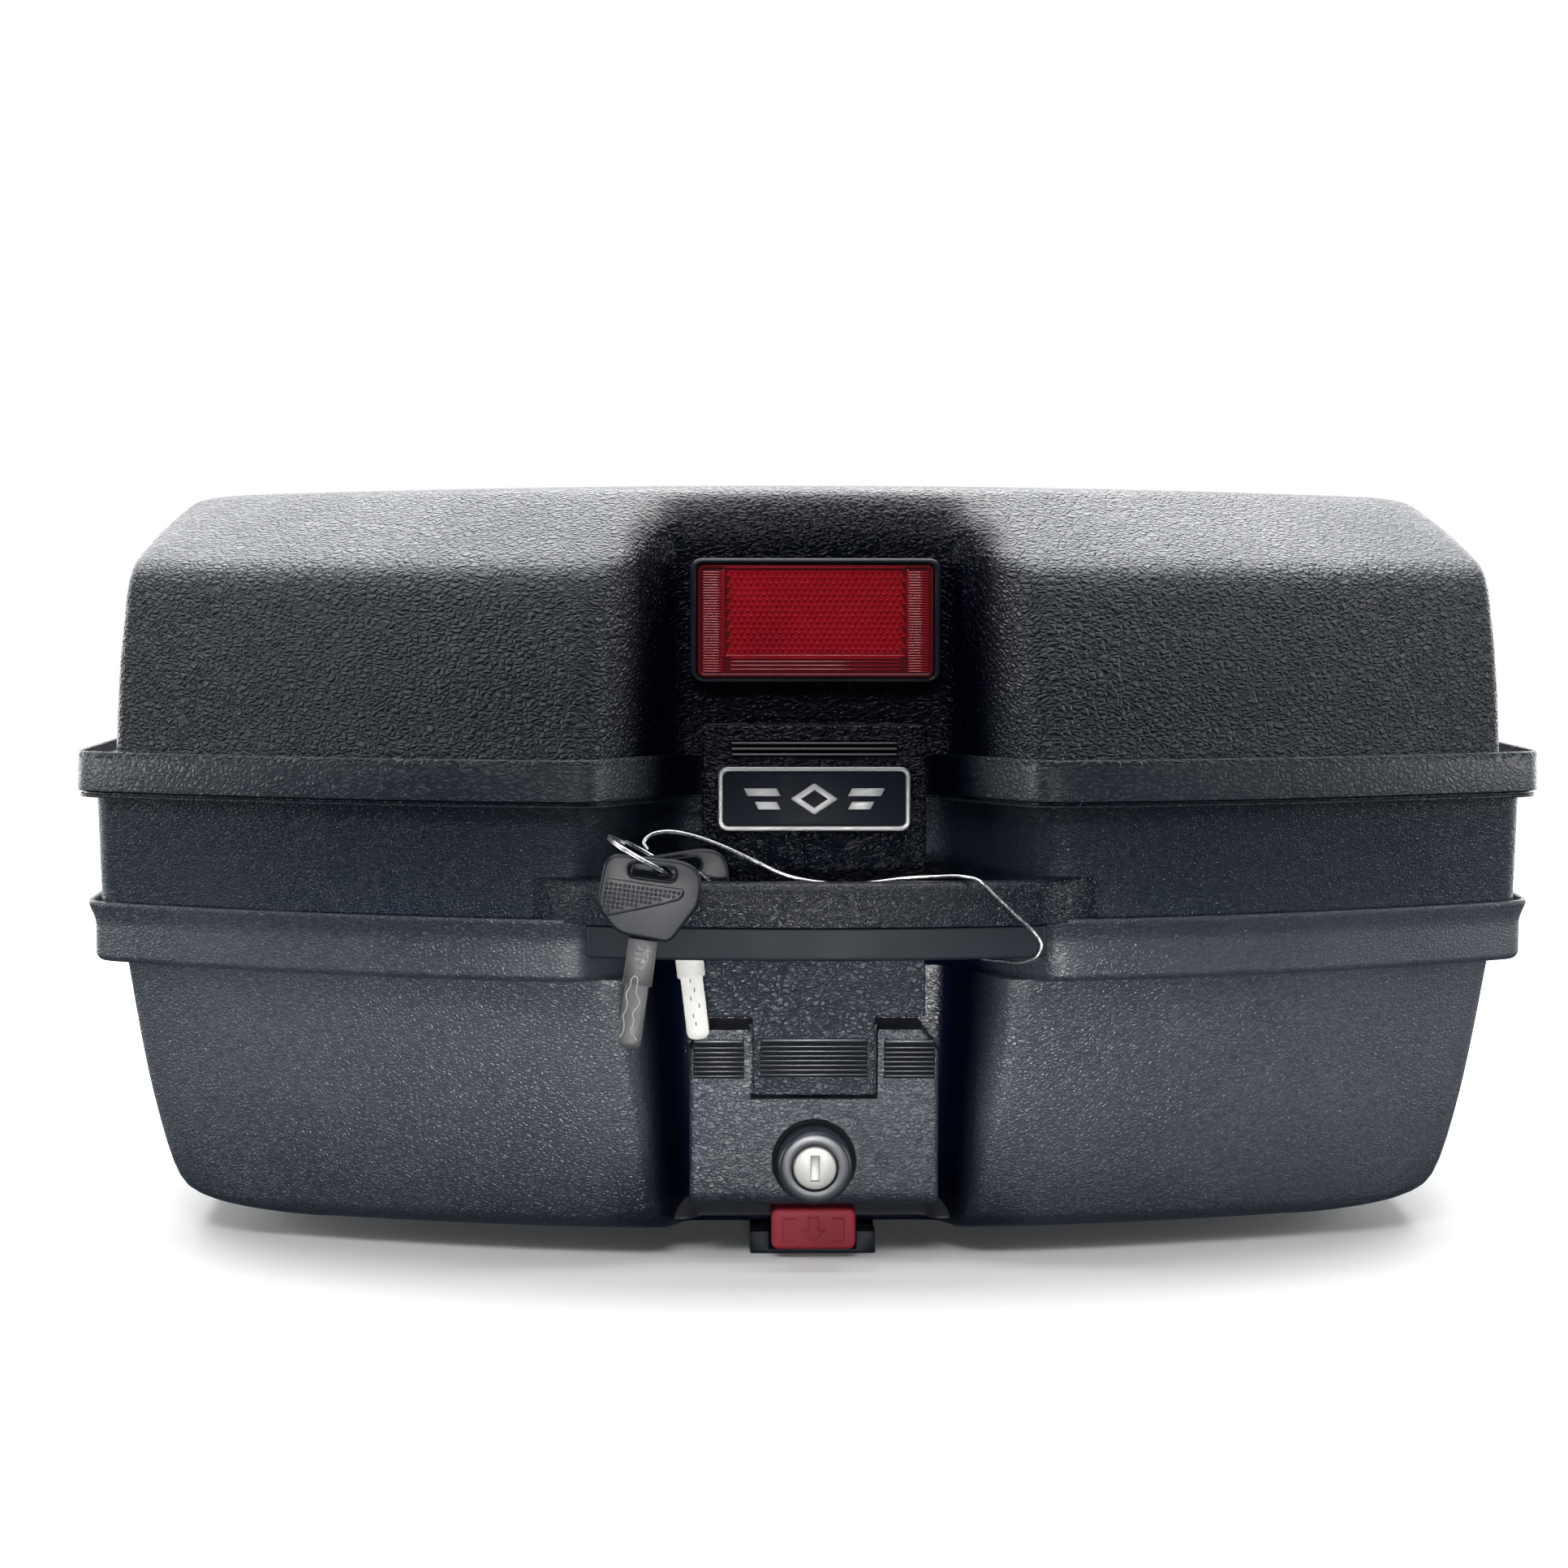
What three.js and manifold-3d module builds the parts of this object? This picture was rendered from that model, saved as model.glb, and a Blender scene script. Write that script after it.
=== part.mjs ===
// A hard motorcycle top case: a base shell, an extension ring, a hinged lid, a latch strap with its
// lock, a carry handle, a quick-release coupling underneath, a reflector and two keys on a ring.
// Millimetres. +Z is up, -Y is the side that carries the lock, X runs along the width.
// The origin is on the coupling plate's underside, at the middle of the case's width and depth.
// Heights are measured from a datum plane that lies DATUM_Z above that underside.

import * as THREE from 'three';
import { mergeVertices, toCreasedNormals } from 'three/addons/utils/BufferGeometryUtils.js';
import Module from 'manifold-3d';

const wasm = await Module();
wasm.setup();

// ---------------------------------------------------------------- driving dimensions

const DATUM_Z = 3;
const UNDERSIDE_Z = -DATUM_Z;
const FRONT_Y = -205;          // y of the foremost plane of the upper flange
const WALL = 3;                // thickness of the moulded shells
const GAP = 0.3;               // clearance between touching pieces

const BASE_BOTTOM_Z = 6;
const BASE_FLOOR_Z = BASE_BOTTOM_Z + WALL;
const BASE_FLANGE_Z = [106.5, 130];
const BASE_FLANGE_INSET = 6.1;
const BASE_LIP_INSET = 3.4;
const RING_Z = [118.3, 177];
const RING_RIM_Z = [170.7, 172.7];
const RING_INSET = [8.9, 7.2]; // the ring's outer face at its foot and under its rim
const RING_RIM_INSET = 0.8;
const LID_FLANGE_Z = [173, 188.5];
const LEDGE_Z = 184;
const SHOULDER_Z = 257;
const LID_TOP_Z = 291;
const CROWN = 3;

const HINGE_Y = 212;
const HINGE_Z = 172;
const HINGE_X = 150;

const STRAP_FRONT_Y = -173;
const STRAP_BACK_Y = -162;
const STRAP_HALF = 42;
const STRAP_PIN = { y: -156, z: 196, r: 2 };
const TONGUE_HALF = 23;
const TONGUE_FOOT_Z = 60.4;

const BLOCK_FRONT_Y = -176;
const BLOCK_BACK_Y = -146.2;
const BLOCK_HALF = 47;
const BLOCK_Z = [18.2, 85.7];
const NOTCH_FLOOR_Z = 59.4;
const LOCK = { x: 0, z: 36, recessR: 16, bezelR: 13.9, plugR: 8.2 };
const CATCH = { half: 8, z: [68, 77] };

const REFLECTOR = { x: 1, z: [217.6, 260.3], half: 44.9, rim: [3, 2.3] };
const BAR = { half: 90, z: [116.7, 145], splitZ: 128.4, frontY: -219, endY: -207, depth: 12 };

const BUTTON = { half: 16, z: [0.7, 16.3], frontY: -170, backY: -151 };
const STEM_Z = [-0.5, 5.1];    // the button's stem and the hook that it carries
const PLATE = { halfX: 120, y: [-88, 128], top: BASE_BOTTOM_Z - GAP };

const KEY_RING = { x: -62.5, y: -208.2, z: 153.6, radius: 14.8, wire: 0.9, pitch: Math.PI / 6 };
const KEY_THICKNESS = 4.2;
const KEY_A = { x: -59.2, y: -219.2, z: 149.3, lean: 0.138 };
const KEY_B = { x: -50.5, y: -197.5, z: 149.5, lean: -0.118 };
const WIRE_DIAMETER = 1.3;

// ---------------------------------------------------------------- materials

function paint(color, roughness, metalness = 0) {
  return new THREE.MeshStandardMaterial({ color, roughness, metalness });
}

const GRAINED = paint('#33373b', 0.62);
const RING_PLASTIC = paint('#22262c', 0.55);
const SMOOTH_BLACK = paint('#2b2f33', 0.45);
const RUBBER = paint('#17181a', 0.85);
const STEEL = paint('#b9bdc2', 0.3, 1);
const DARK_STEEL = paint('#4a4845', 0.4, 1);
const LENS_RED = paint('#a81222', 0.15);
const BUTTON_RED = paint('#8c2f3a', 0.5);
const BADGE_METAL = paint('#9a9c9e', 0.35, 1);
const MAT_FABRIC = paint('#26282a', 0.95);

const group = new THREE.Group();

/** Adds one named piece to the assembly. */
function add(name, geometry, material) {
  const mesh = new THREE.Mesh(toCreasedNormals(geometry, 0.6), material);
  mesh.name = name;
  mesh.position.z = DATUM_Z;
  group.add(mesh);
}

// ---------------------------------------------------------------- solids

/** Turns a closed geometry into a manifold solid. */
function solid(geometry) {
  const bare = geometry.clone();
  for (const key of Object.keys(bare.attributes)) {
    if (key !== 'position') bare.deleteAttribute(key);
  }
  const merged = mergeVertices(bare, 1e-4);
  const mesh = new wasm.Mesh({
    numProp: 3,
    vertProperties: new Float32Array(merged.attributes.position.array),
    triVerts: new Uint32Array(merged.index.array),
  });
  return new wasm.Manifold(mesh);
}

/** Turns a manifold solid back into a geometry. */
function geometryOf(manifold) {
  const mesh = manifold.getMesh();
  const geometry = new THREE.BufferGeometry();
  geometry.setAttribute('position', new THREE.BufferAttribute(new Float32Array(mesh.vertProperties), 3));
  geometry.setIndex(new THREE.BufferAttribute(new Uint32Array(mesh.triVerts), 1));
  return geometry;
}

/** Cuts every tool geometry out of a body geometry. */
function cut(body, ...tools) {
  let result = solid(body);
  for (const tool of tools) result = result.subtract(solid(tool));
  return geometryOf(result);
}

/** Joins geometries into one solid. */
function join(first, ...others) {
  let result = solid(first);
  for (const other of others) result = result.add(solid(other));
  return geometryOf(result);
}

function box(x, y, z) {
  const geometry = new THREE.BoxGeometry(x[1] - x[0], y[1] - y[0], z[1] - z[0]);
  return geometry.translate((x[0] + x[1]) / 2, (y[0] + y[1]) / 2, (z[0] + z[1]) / 2);
}

/** A cylinder along one axis between two stations, centred on the other two coordinates. */
function rod(axis, radius, from, to, u, v, sides = 20) {
  const geometry = new THREE.CylinderGeometry(radius, radius, to - from, sides);
  const middle = (from + to) / 2;
  if (axis === 'x') return geometry.rotateZ(Math.PI / 2).translate(middle, u, v);
  if (axis === 'y') return geometry.translate(u, middle, v);
  return geometry.rotateX(Math.PI / 2).translate(u, v, middle);
}

/** A body of revolution about a line parallel to Y: profile points are [radius, y]. */
function turnedY(profile, x, z, sides = 28) {
  const points = profile.map(([r, y]) => new THREE.Vector2(r, y));
  return new THREE.LatheGeometry(points, sides).translate(x, 0, z);
}

/** A rounded rectangle as a shape; corners are [bottom, top] radii. */
function roundedRect(x0, x1, y0, y1, r, rTop = r) {
  const shape = new THREE.Shape();
  shape.moveTo(x0 + r, y0);
  shape.lineTo(x1 - r, y0);
  shape.absarc(x1 - r, y0 + r, r, -Math.PI / 2, 0);
  shape.lineTo(x1, y1 - rTop);
  shape.absarc(x1 - rTop, y1 - rTop, rTop, 0, Math.PI / 2);
  shape.lineTo(x0 + rTop, y1);
  shape.absarc(x0 + rTop, y1 - rTop, rTop, Math.PI / 2, Math.PI);
  shape.lineTo(x0, y0 + r);
  shape.absarc(x0 + r, y0 + r, r, Math.PI, Math.PI * 1.5);
  return shape;
}

/** Extrudes a shape drawn in X-Z between two y stations. */
function slabXZ(shape, y0, y1, curveSegments = 2) {
  const geometry = new THREE.ExtrudeGeometry(shape, { depth: y1 - y0, bevelEnabled: false, curveSegments });
  return geometry.rotateX(Math.PI / 2).translate(0, y1, 0);
}

/** Extrudes a shape drawn in X-Y between two z stations. */
function slabXY(shape, z0, z1, curveSegments = 2) {
  const geometry = new THREE.ExtrudeGeometry(shape, { depth: z1 - z0, bevelEnabled: false, curveSegments });
  return geometry.translate(0, 0, z0);
}

/** A round tube along a curve. */
function tube(curve, radius, steps, sides = 8) {
  const section = new THREE.Shape();
  section.absarc(0, 0, radius, 0, Math.PI * 2);
  const options = { steps, curveSegments: sides / 2, extrudePath: curve, bevelEnabled: false };
  return new THREE.ExtrudeGeometry(section, options);
}

// ---------------------------------------------------------------- plan outlines
// An outline is described by distances behind the foremost plane (apex, floor, rear) and by
// half-widths (side at the front corner, wide at mid depth). The front is bowed, and a recess
// with sloping walls is sunk into its middle.

const WIDEST_DEPTH = 240;
const REAR_TAPER = 6;
const RECESS_SAMPLES = [0, 26, 42, 48, 53, 60, 67, 74, 80, 87, 98];
const SLOPE_FACTOR = 1.15;

const softMax = (a, b, k) => (a + b + Math.hypot(a - b, k)) / 2;
const softMin = (a, b, k) => -softMax(-a, -b, k);

function frontDepth(p, x) {
  const bowed = p.apex + (x * x) / (2 * p.bow);
  const slope = p.floor / (p.mouth - p.floorHalf);
  const recess = softMin(p.floor, p.floor - (Math.abs(x) - p.floorHalf) * slope, 6);
  return softMax(bowed, recess, p.soft);
}

/** Points of a fillet at vertex v between the directions towards a and b. */
function fillet(a, v, b, radius, steps) {
  const u = a.clone().sub(v).normalize();
  const w = b.clone().sub(v).normalize();
  const half = Math.acos(u.dot(w)) / 2;
  const centre = u.clone().add(w).normalize().multiplyScalar(radius / Math.sin(half)).add(v);
  const start = v.clone().addScaledVector(u, radius / Math.tan(half)).sub(centre);
  const end = v.clone().addScaledVector(w, radius / Math.tan(half)).sub(centre);
  const sweep = Math.atan2(start.x * end.y - start.y * end.x, start.dot(end));
  return Array.from({ length: steps + 1 }, (_, i) =>
    start.clone().rotateAround(new THREE.Vector2(), (sweep * i) / steps).add(centre));
}

/** The right half of an outline, from the front centre round to the rear centre. */
function halfOutline(p) {
  const cornerSlope = p.side / p.bow;
  const corner = new THREE.Vector2(p.side, p.apex + (p.side * p.side) / (2 * p.bow));
  const along = new THREE.Vector2(corner.x - 1, corner.y - cornerSlope);
  const widest = new THREE.Vector2(p.wide, WIDEST_DEPTH);
  const rearCorner = new THREE.Vector2(p.wide - REAR_TAPER, p.rear);
  const frontArc = fillet(along, corner, widest, p.cornerR, 3);
  const rearArc = fillet(widest, rearCorner, new THREE.Vector2(0, p.rear), p.rearR, 4);
  const samples = [...RECESS_SAMPLES];
  const last = RECESS_SAMPLES.at(-1);
  for (let i = 1; i < 3; i++) samples.push(last + ((frontArc[0].x - last) * i) / 3);
  const front = samples.map((x) => new THREE.Vector2(x, frontDepth(p, x)));
  const rearMiddle = new THREE.Vector2(rearArc.at(-1).x / 2, p.rear);
  return [...front, ...frontArc, widest, ...rearArc, rearMiddle, new THREE.Vector2(0, p.rear)];
}

/** A closed outline as a ring of 3-D points, counter-clockwise from above. */
function ringAt(p, z) {
  const right = halfOutline(p);
  const left = right.slice(1, -1).reverse().map((q) => new THREE.Vector2(-q.x, q.y));
  return [...right, ...left].map((q) => new THREE.Vector3(q.x, q.y + FRONT_Y, z));
}

/** Moves an outline inwards by t. */
function inset(p, t) {
  const recessShift = SLOPE_FACTOR * t;
  return {
    ...p,
    apex: p.apex + t,
    side: p.side - t,
    wide: p.wide - t,
    rear: p.rear - t,
    cornerR: Math.max(p.cornerR - t, 6),
    rearR: Math.max(p.rearR - t, 8),
    floor: p.floor + t,
    floorHalf: p.floorHalf + recessShift / 2,
    mouth: p.mouth + recessShift,
  };
}

/** Skins a list of rings. Open lists are capped at both ends, closed ones loop round. */
function loft(rings, looped = false) {
  const count = rings[0].length;
  const points = rings.flat();
  const index = [];
  const bands = looped ? rings.length : rings.length - 1;
  for (let k = 0; k < bands; k++) {
    const lower = k * count;
    const upper = ((k + 1) % rings.length) * count;
    for (let i = 0; i < count; i++) {
      const j = (i + 1) % count;
      index.push(lower + i, lower + j, upper + j, lower + i, upper + j, upper + i);
    }
  }
  if (!looped) {
    const capAt = (start, flip) => {
      const centre = points.length;
      const middle = new THREE.Vector3(0, 0, points[start].z);
      points.push(middle);
      for (let i = 0; i < count; i++) {
        const a = start + i;
        const b = start + ((i + 1) % count);
        index.push(centre, flip ? b : a, flip ? a : b);
      }
      return middle;
    };
    capAt(0, true);
    capAt((rings.length - 1) * count, false);
  }
  const geometry = new THREE.BufferGeometry().setFromPoints(points);
  geometry.setIndex(index);
  return geometry;
}

// ---------------------------------------------------------------- the three shells

const FLANGE = {
  apex: -9, bow: 505, side: 286, wide: 301, rear: 410, cornerR: 24, rearR: 58,
  floor: 53, floorHalf: 48, mouth: 79, soft: 9,
};
const LID_FOOT = { ...inset(FLANGE, 15), side: 271.6, floor: 58, floorHalf: 54, mouth: 86, soft: 12 };
const LID_LEVELS = [
  [184, {}],
  [221, { side: 269.7, wide: 285, rear: 394 }],
  [250, { side: 266.8, wide: 283, rear: 392, apex: 10 }],
  [SHOULDER_Z, { side: 265.8, wide: 282, rear: 391, apex: 12.5 }],
  [262, { side: 265.2, wide: 281, rear: 389.5, apex: 19, cornerR: 14 }],
  [274, { side: 264, wide: 275, rear: 384, apex: 40, bow: 430, cornerR: 34, rearR: 50 }],
  [286, { side: 259.5, wide: 266, rear: 377, apex: 61, bow: 360, cornerR: 52, rearR: 56 }],
  [289.6, { side: 257, wide: 262, rear: 374, apex: 68, bow: 342, cornerR: 58, rearR: 58 }],
  [LID_TOP_Z, { side: 251, wide: 256, rear: 368, apex: 75, bow: 337, cornerR: 60, rearR: 58 }],
];
const BASE_TOP = {
  ...inset(FLANGE, 17), side: 268, wide: 282, floor: 60, floorHalf: 54, mouth: 74, soft: 8,
};
const BASE_LEVELS = [
  [BASE_BOTTOM_Z, { side: 212, wide: 220, rear: 345, apex: 52, bow: 660, cornerR: 60, rearR: 60,
    floorHalf: 50, mouth: 66 }],
  [7, { side: 232, wide: 241, rear: 360, apex: 40, bow: 640, cornerR: 58, rearR: 60,
    floorHalf: 50, mouth: 66 }],
  [10.5, { side: 246, wide: 255, rear: 370, apex: 31, bow: 600, cornerR: 46, rearR: 60,
    floorHalf: 50, mouth: 66 }],
  [17.5, { side: 253, wide: 262, rear: 377, apex: 26, bow: 570, cornerR: 38, rearR: 58,
    floorHalf: 50, mouth: 67 }],
  [46, { side: 260, wide: 270, rear: 386, apex: 18.5, bow: 540, cornerR: 32, rearR: 54,
    floorHalf: 51, mouth: 69 }],
  [72, { side: 265, wide: 275, rear: 390, apex: 14, bow: 515, cornerR: 26, rearR: 50,
    floorHalf: 52.5, mouth: 71.5 }],
  [BASE_FLANGE_Z[0], {}],
];

/** The outline of a level table, thinned by the wall where t is given. */
const levelRing = (foot, [z, changes], t = 0, dz = 0) => ringAt(inset({ ...foot, ...changes }, t), z + dz);

function lidShell() {
  const outer = LID_LEVELS.map((level) => levelRing(LID_FOOT, level));
  const innerLevels = LID_LEVELS.filter(([z]) => z > LEDGE_Z).reverse();
  const inner = innerLevels.map((level) => {
    const lift = level[0] > SHOULDER_Z ? -WALL : 0;
    return levelRing(LID_FOOT, level, WALL, lift);
  });
  const crownOf = (ring, lift) => ring.map((q) => new THREE.Vector3(q.x * 0.6, q.y * 0.55, q.z + lift));
  const [low, high] = LID_FLANGE_Z;
  const underLedge = LEDGE_Z - WALL;
  return loft([
    crownOf(inner[0], CROWN),
    ...inner,
    ringAt(inset(LID_FOOT, WALL), underLedge),
    ringAt(inset(FLANGE, WALL), underLedge),
    ringAt(inset(FLANGE, WALL), low),
    ringAt(FLANGE, low),
    ringAt(FLANGE, high),
    ringAt(inset(FLANGE, 2.4), high),
    ringAt(inset(FLANGE, 2.4), LEDGE_Z),
    ...outer,
    crownOf(outer.at(-1), CROWN),
  ]);
}

function extensionRing() {
  const at = (t, z) => ringAt(inset(FLANGE, t), z);
  return loft([
    at(RING_INSET[0], RING_Z[0]),
    at(RING_INSET[1], RING_RIM_Z[0]),
    at(RING_RIM_INSET, RING_RIM_Z[0]),
    at(RING_RIM_INSET, RING_RIM_Z[1]),
    at(10, RING_RIM_Z[1]),
    at(10, RING_Z[1]),
    at(13, RING_Z[1]),
    at(13, 171),
    at(11, 168),
    at(RING_INSET[0] + 2.7, RING_Z[0]),
  ], true);
}

function baseShell() {
  const at = (t, z) => ringAt(inset(FLANGE, t), z);
  const outer = BASE_LEVELS.map((level) => levelRing(BASE_TOP, level));
  const innerLevels = BASE_LEVELS.filter(([z]) => z !== 7 && z !== 10.5).reverse();
  const inner = innerLevels.map((level) => {
    const atFloor = level[0] === BASE_BOTTOM_Z;
    return levelRing(BASE_TOP, level, atFloor ? -8 : WALL, atFloor ? WALL : 0);
  });
  const [low, high] = BASE_FLANGE_Z;
  return loft([
    ...outer,
    at(BASE_FLANGE_INSET + 1.5, low),
    at(BASE_FLANGE_INSET, low + 2),
    at(BASE_FLANGE_INSET, high - 8),
    at(BASE_LIP_INSET, high - 1.5),
    at(BASE_LIP_INSET, high),
    at(BASE_LIP_INSET + 2.4, high),
    at(8, high - 8),
    at(8, 115.5),
    at(12, 115.5),
    at(12, high - 3),
    at(15, high - 3),
    at(15, low + 3),
    ...inner.slice(0, 1).map((ring) => ring.map((q) => q.clone().setZ(low - 4))),
    ...inner.slice(1),
  ]);
}

/** A flat gasket following the flange between two insets. */
function gasket(from, to, z0, z1) {
  const at = (t, z) => ringAt(inset(FLANGE, t), z);
  return loft([at(from, z0), at(from, z1), at(to, z1), at(to, z0)], true);
}

// ---------------------------------------------------------------- screws

/** A pan-head screw along Y; its head faces +Y. */
function screwY(x, y, z, length) {
  const profile = [[0, y - length], [1.8, y - length], [1.8, y], [4, y], [3.4, y + 2.2], [0, y + 2.2]];
  const driveSlot = box([x - 2.6, x + 2.6], [y + 1.4, y + 3], [z - 0.6, z + 0.6]);
  return cut(turnedY(profile, x, z, 12), driveSlot);
}

const screwHoleY = (x, y0, y1, z) => rod('y', 2.2, y0, y1, x, z, 12);

/** A pan-head screw along Z; its head faces +Z. */
function screwZ(x, y, z, length) {
  return screwY(x, 0, 0, length).rotateX(Math.PI / 2).translate(0, y, z);
}

// ---------------------------------------------------------------- coupling underneath

const COUPLING_SCREWS = [[-98, -66], [98, -66], [-98, 106], [98, 106]];
const BRACKET_SCREWS = [[-20.3, -132], [20.3, -132]];
const SCREW_HOLE_FOOT_Z = -1.3;

function couplingPlate() {
  const outline = roundedRect(-PLATE.halfX, PLATE.halfX, PLATE.y[0], PLATE.y[1], 24);
  const plate = slabXY(outline, UNDERSIDE_Z, PLATE.top, 6);
  const channels = [[-78, -14], [14, 78]].map(([x0, x1]) => {
    const channel = roundedRect(x0, x1, -72, 92, 12);
    return slabXY(channel, UNDERSIDE_Z - 1, PLATE.top - 3);
  });
  const hookSlots = [-46, 46].map((x) => {
    const slot = roundedRect(x - 14, x + 14, 98, 112, 4);
    return slabXY(slot, UNDERSIDE_Z - 1, PLATE.top - 3);
  });
  const holes = COUPLING_SCREWS.map(([x, y]) => rod('z', 2.2, SCREW_HOLE_FOOT_Z, 20, x, y, 12));
  return cut(plate, ...channels, ...hookSlots, ...holes);
}

function releaseBracket() {
  const channelFloor = STEM_Z[0] - 0.6;
  const body = box([-24, 24], [-160, -120], [UNDERSIDE_Z, BASE_BOTTOM_Z - GAP]);
  const channel = box([-16.6, 16.6], [-161, -123], [channelFloor, 20]);
  const hookWindow = box([-8.4, 8.4], [-124, -119], [channelFloor, 20]);
  const hookFloor = box([-8.4, 8.4], [-139, -119], [UNDERSIDE_Z - 1, STEM_Z[0]]);
  const holes = BRACKET_SCREWS.map(([x, y]) => rod('z', 2.2, SCREW_HOLE_FOOT_Z, 20, x, y, 12));
  return cut(body, channel, hookWindow, hookFloor, ...holes);
}

function pushButton() {
  const pad = slabXZ(roundedRect(-BUTTON.half, BUTTON.half, ...BUTTON.z, 3), BUTTON.frontY, BUTTON.backY);
  const press = new THREE.Shape();
  press.moveTo(0, 11.8);
  press.lineTo(-4.4, 6.8);
  press.lineTo(-2.2, 6.8);
  press.lineTo(-2.2, 4.4);
  press.lineTo(2.2, 4.4);
  press.lineTo(2.2, 6.8);
  press.lineTo(4.4, 6.8);
  const arrow = slabXZ(press, BUTTON.frontY - 0.5, BUTTON.frontY + 1);
  const stem = box([-9, 9], [BUTTON.backY - 1, -141], STEM_Z);
  return join(pad, arrow, stem);
}

function releaseHook() {
  const shank = box([-7.6, 7.6], [-140.7, -126], STEM_Z);
  const nose = box([-7.6, 7.6], [-134, -124], [UNDERSIDE_Z + 0.4, STEM_Z[1]]);
  return join(shank, nose);
}

/** A coil spring along Y. */
function springY(x, z, y0, y1, radius, wire, turns) {
  class Helix extends THREE.Curve {
    getPoint(t) {
      const angle = t * turns * Math.PI * 2;
      const y = y0 + (y1 - y0) * t;
      return new THREE.Vector3(x + radius * Math.cos(angle), y, z + radius * Math.sin(angle));
    }
  }
  return tube(new Helix(), wire / 2, turns * 8, 4);
}

// ---------------------------------------------------------------- latch strap and lock

const RIBS = { count: 7, pitch: 1.78, footZ: 68.2, halfHeight: 0.36, topZ: [80.6, 81.9], proud: 0.6 };

/** Fine ribs across a face at a given y, with a broader one on top. */
function ribField(x, frontY) {
  const y = [frontY - RIBS.proud, frontY + 0.5];
  const ribs = Array.from({ length: RIBS.count }, (_, i) => {
    const z = RIBS.footZ + i * RIBS.pitch;
    return box(x, y, [z - RIBS.halfHeight, z + RIBS.halfHeight]);
  });
  return [...ribs, box(x, y, RIBS.topZ)];
}

function latchStrap() {
  const outline = new THREE.Shape();
  const corner = 2;
  outline.moveTo(-STRAP_HALF, 90);
  outline.lineTo(-TONGUE_HALF, 90);
  outline.lineTo(-TONGUE_HALF, TONGUE_FOOT_Z + corner);
  outline.lineTo(-TONGUE_HALF + corner, TONGUE_FOOT_Z);
  outline.lineTo(TONGUE_HALF - corner, TONGUE_FOOT_Z);
  outline.lineTo(TONGUE_HALF, TONGUE_FOOT_Z + corner);
  outline.lineTo(TONGUE_HALF, 90);
  outline.lineTo(STRAP_HALF, 90);
  outline.lineTo(STRAP_HALF, 199);
  outline.lineTo(STRAP_HALF - 1.5, 200);
  outline.lineTo(-STRAP_HALF + 1.5, 200);
  outline.lineTo(-STRAP_HALF, 199);
  const plate = slabXZ(outline, STRAP_FRONT_Y, STRAP_BACK_Y);
  const hollow = box([-36, 36], [-168, -161], [96, 186]);
  const boss = join(
    rod('x', 4.6, -24, 24, STRAP_PIN.y, STRAP_PIN.z, 20),
    box([-24, 24], [STRAP_BACK_Y - 0.5, STRAP_PIN.y], [STRAP_PIN.z - 4.4, 199.5]),
  );
  const keeper = box([-9, 9], [-166, -161], [67, 78]);
  const bore = rod('x', STRAP_PIN.r + 0.05, -25, 25, STRAP_PIN.y, STRAP_PIN.z, 20);
  const topRibs = [189.1, 191.23, 193.36].map((z) => box([-31, 31], [-173.6, -172.5], [z - 0.4, z + 0.4]));
  return cut(join(plate, boss, ...topRibs, ...ribField([-20, 20], STRAP_FRONT_Y)), hollow, keeper, bore);
}

const BRACKET_STUDS = [-36.5, 36.5];

function strapBracket() {
  const back = -147.5;
  const plate = box([-41, 41], [back - 2.4, back], [190, 199.8]);
  const ears = [-31, 25].map((x) => join(
    box([x, x + 6], [STRAP_PIN.y, back - 1], [192, 199.8]),
    rod('x', 4.5, x, x + 6, STRAP_PIN.y, STRAP_PIN.z, 14),
  ));
  const bore = rod('x', STRAP_PIN.r + 0.05, -33, 33, STRAP_PIN.y, STRAP_PIN.z, 20);
  const bossRoom = box([-24.6, 24.6], [-160, back - 1.4], [189, 201]);
  const holes = BRACKET_STUDS.map((x) => screwHoleY(x, -152, -146, STRAP_PIN.z - 1));
  return cut(join(plate, ...ears), bore, bossRoom, ...holes);
}

/** A flat frame between two rounded rectangles, drawn in X-Z. */
function frameXZ(x0, x1, z0, z1, r, band, y0, y1) {
  const shape = roundedRect(x0, x1, z0, z1, r);
  shape.holes.push(roundedRect(x0 + band, x1 - band, z0 + band, z1 - band, Math.max(r - band, 0.4)));
  return slabXZ(shape, y0, y1);
}

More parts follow.
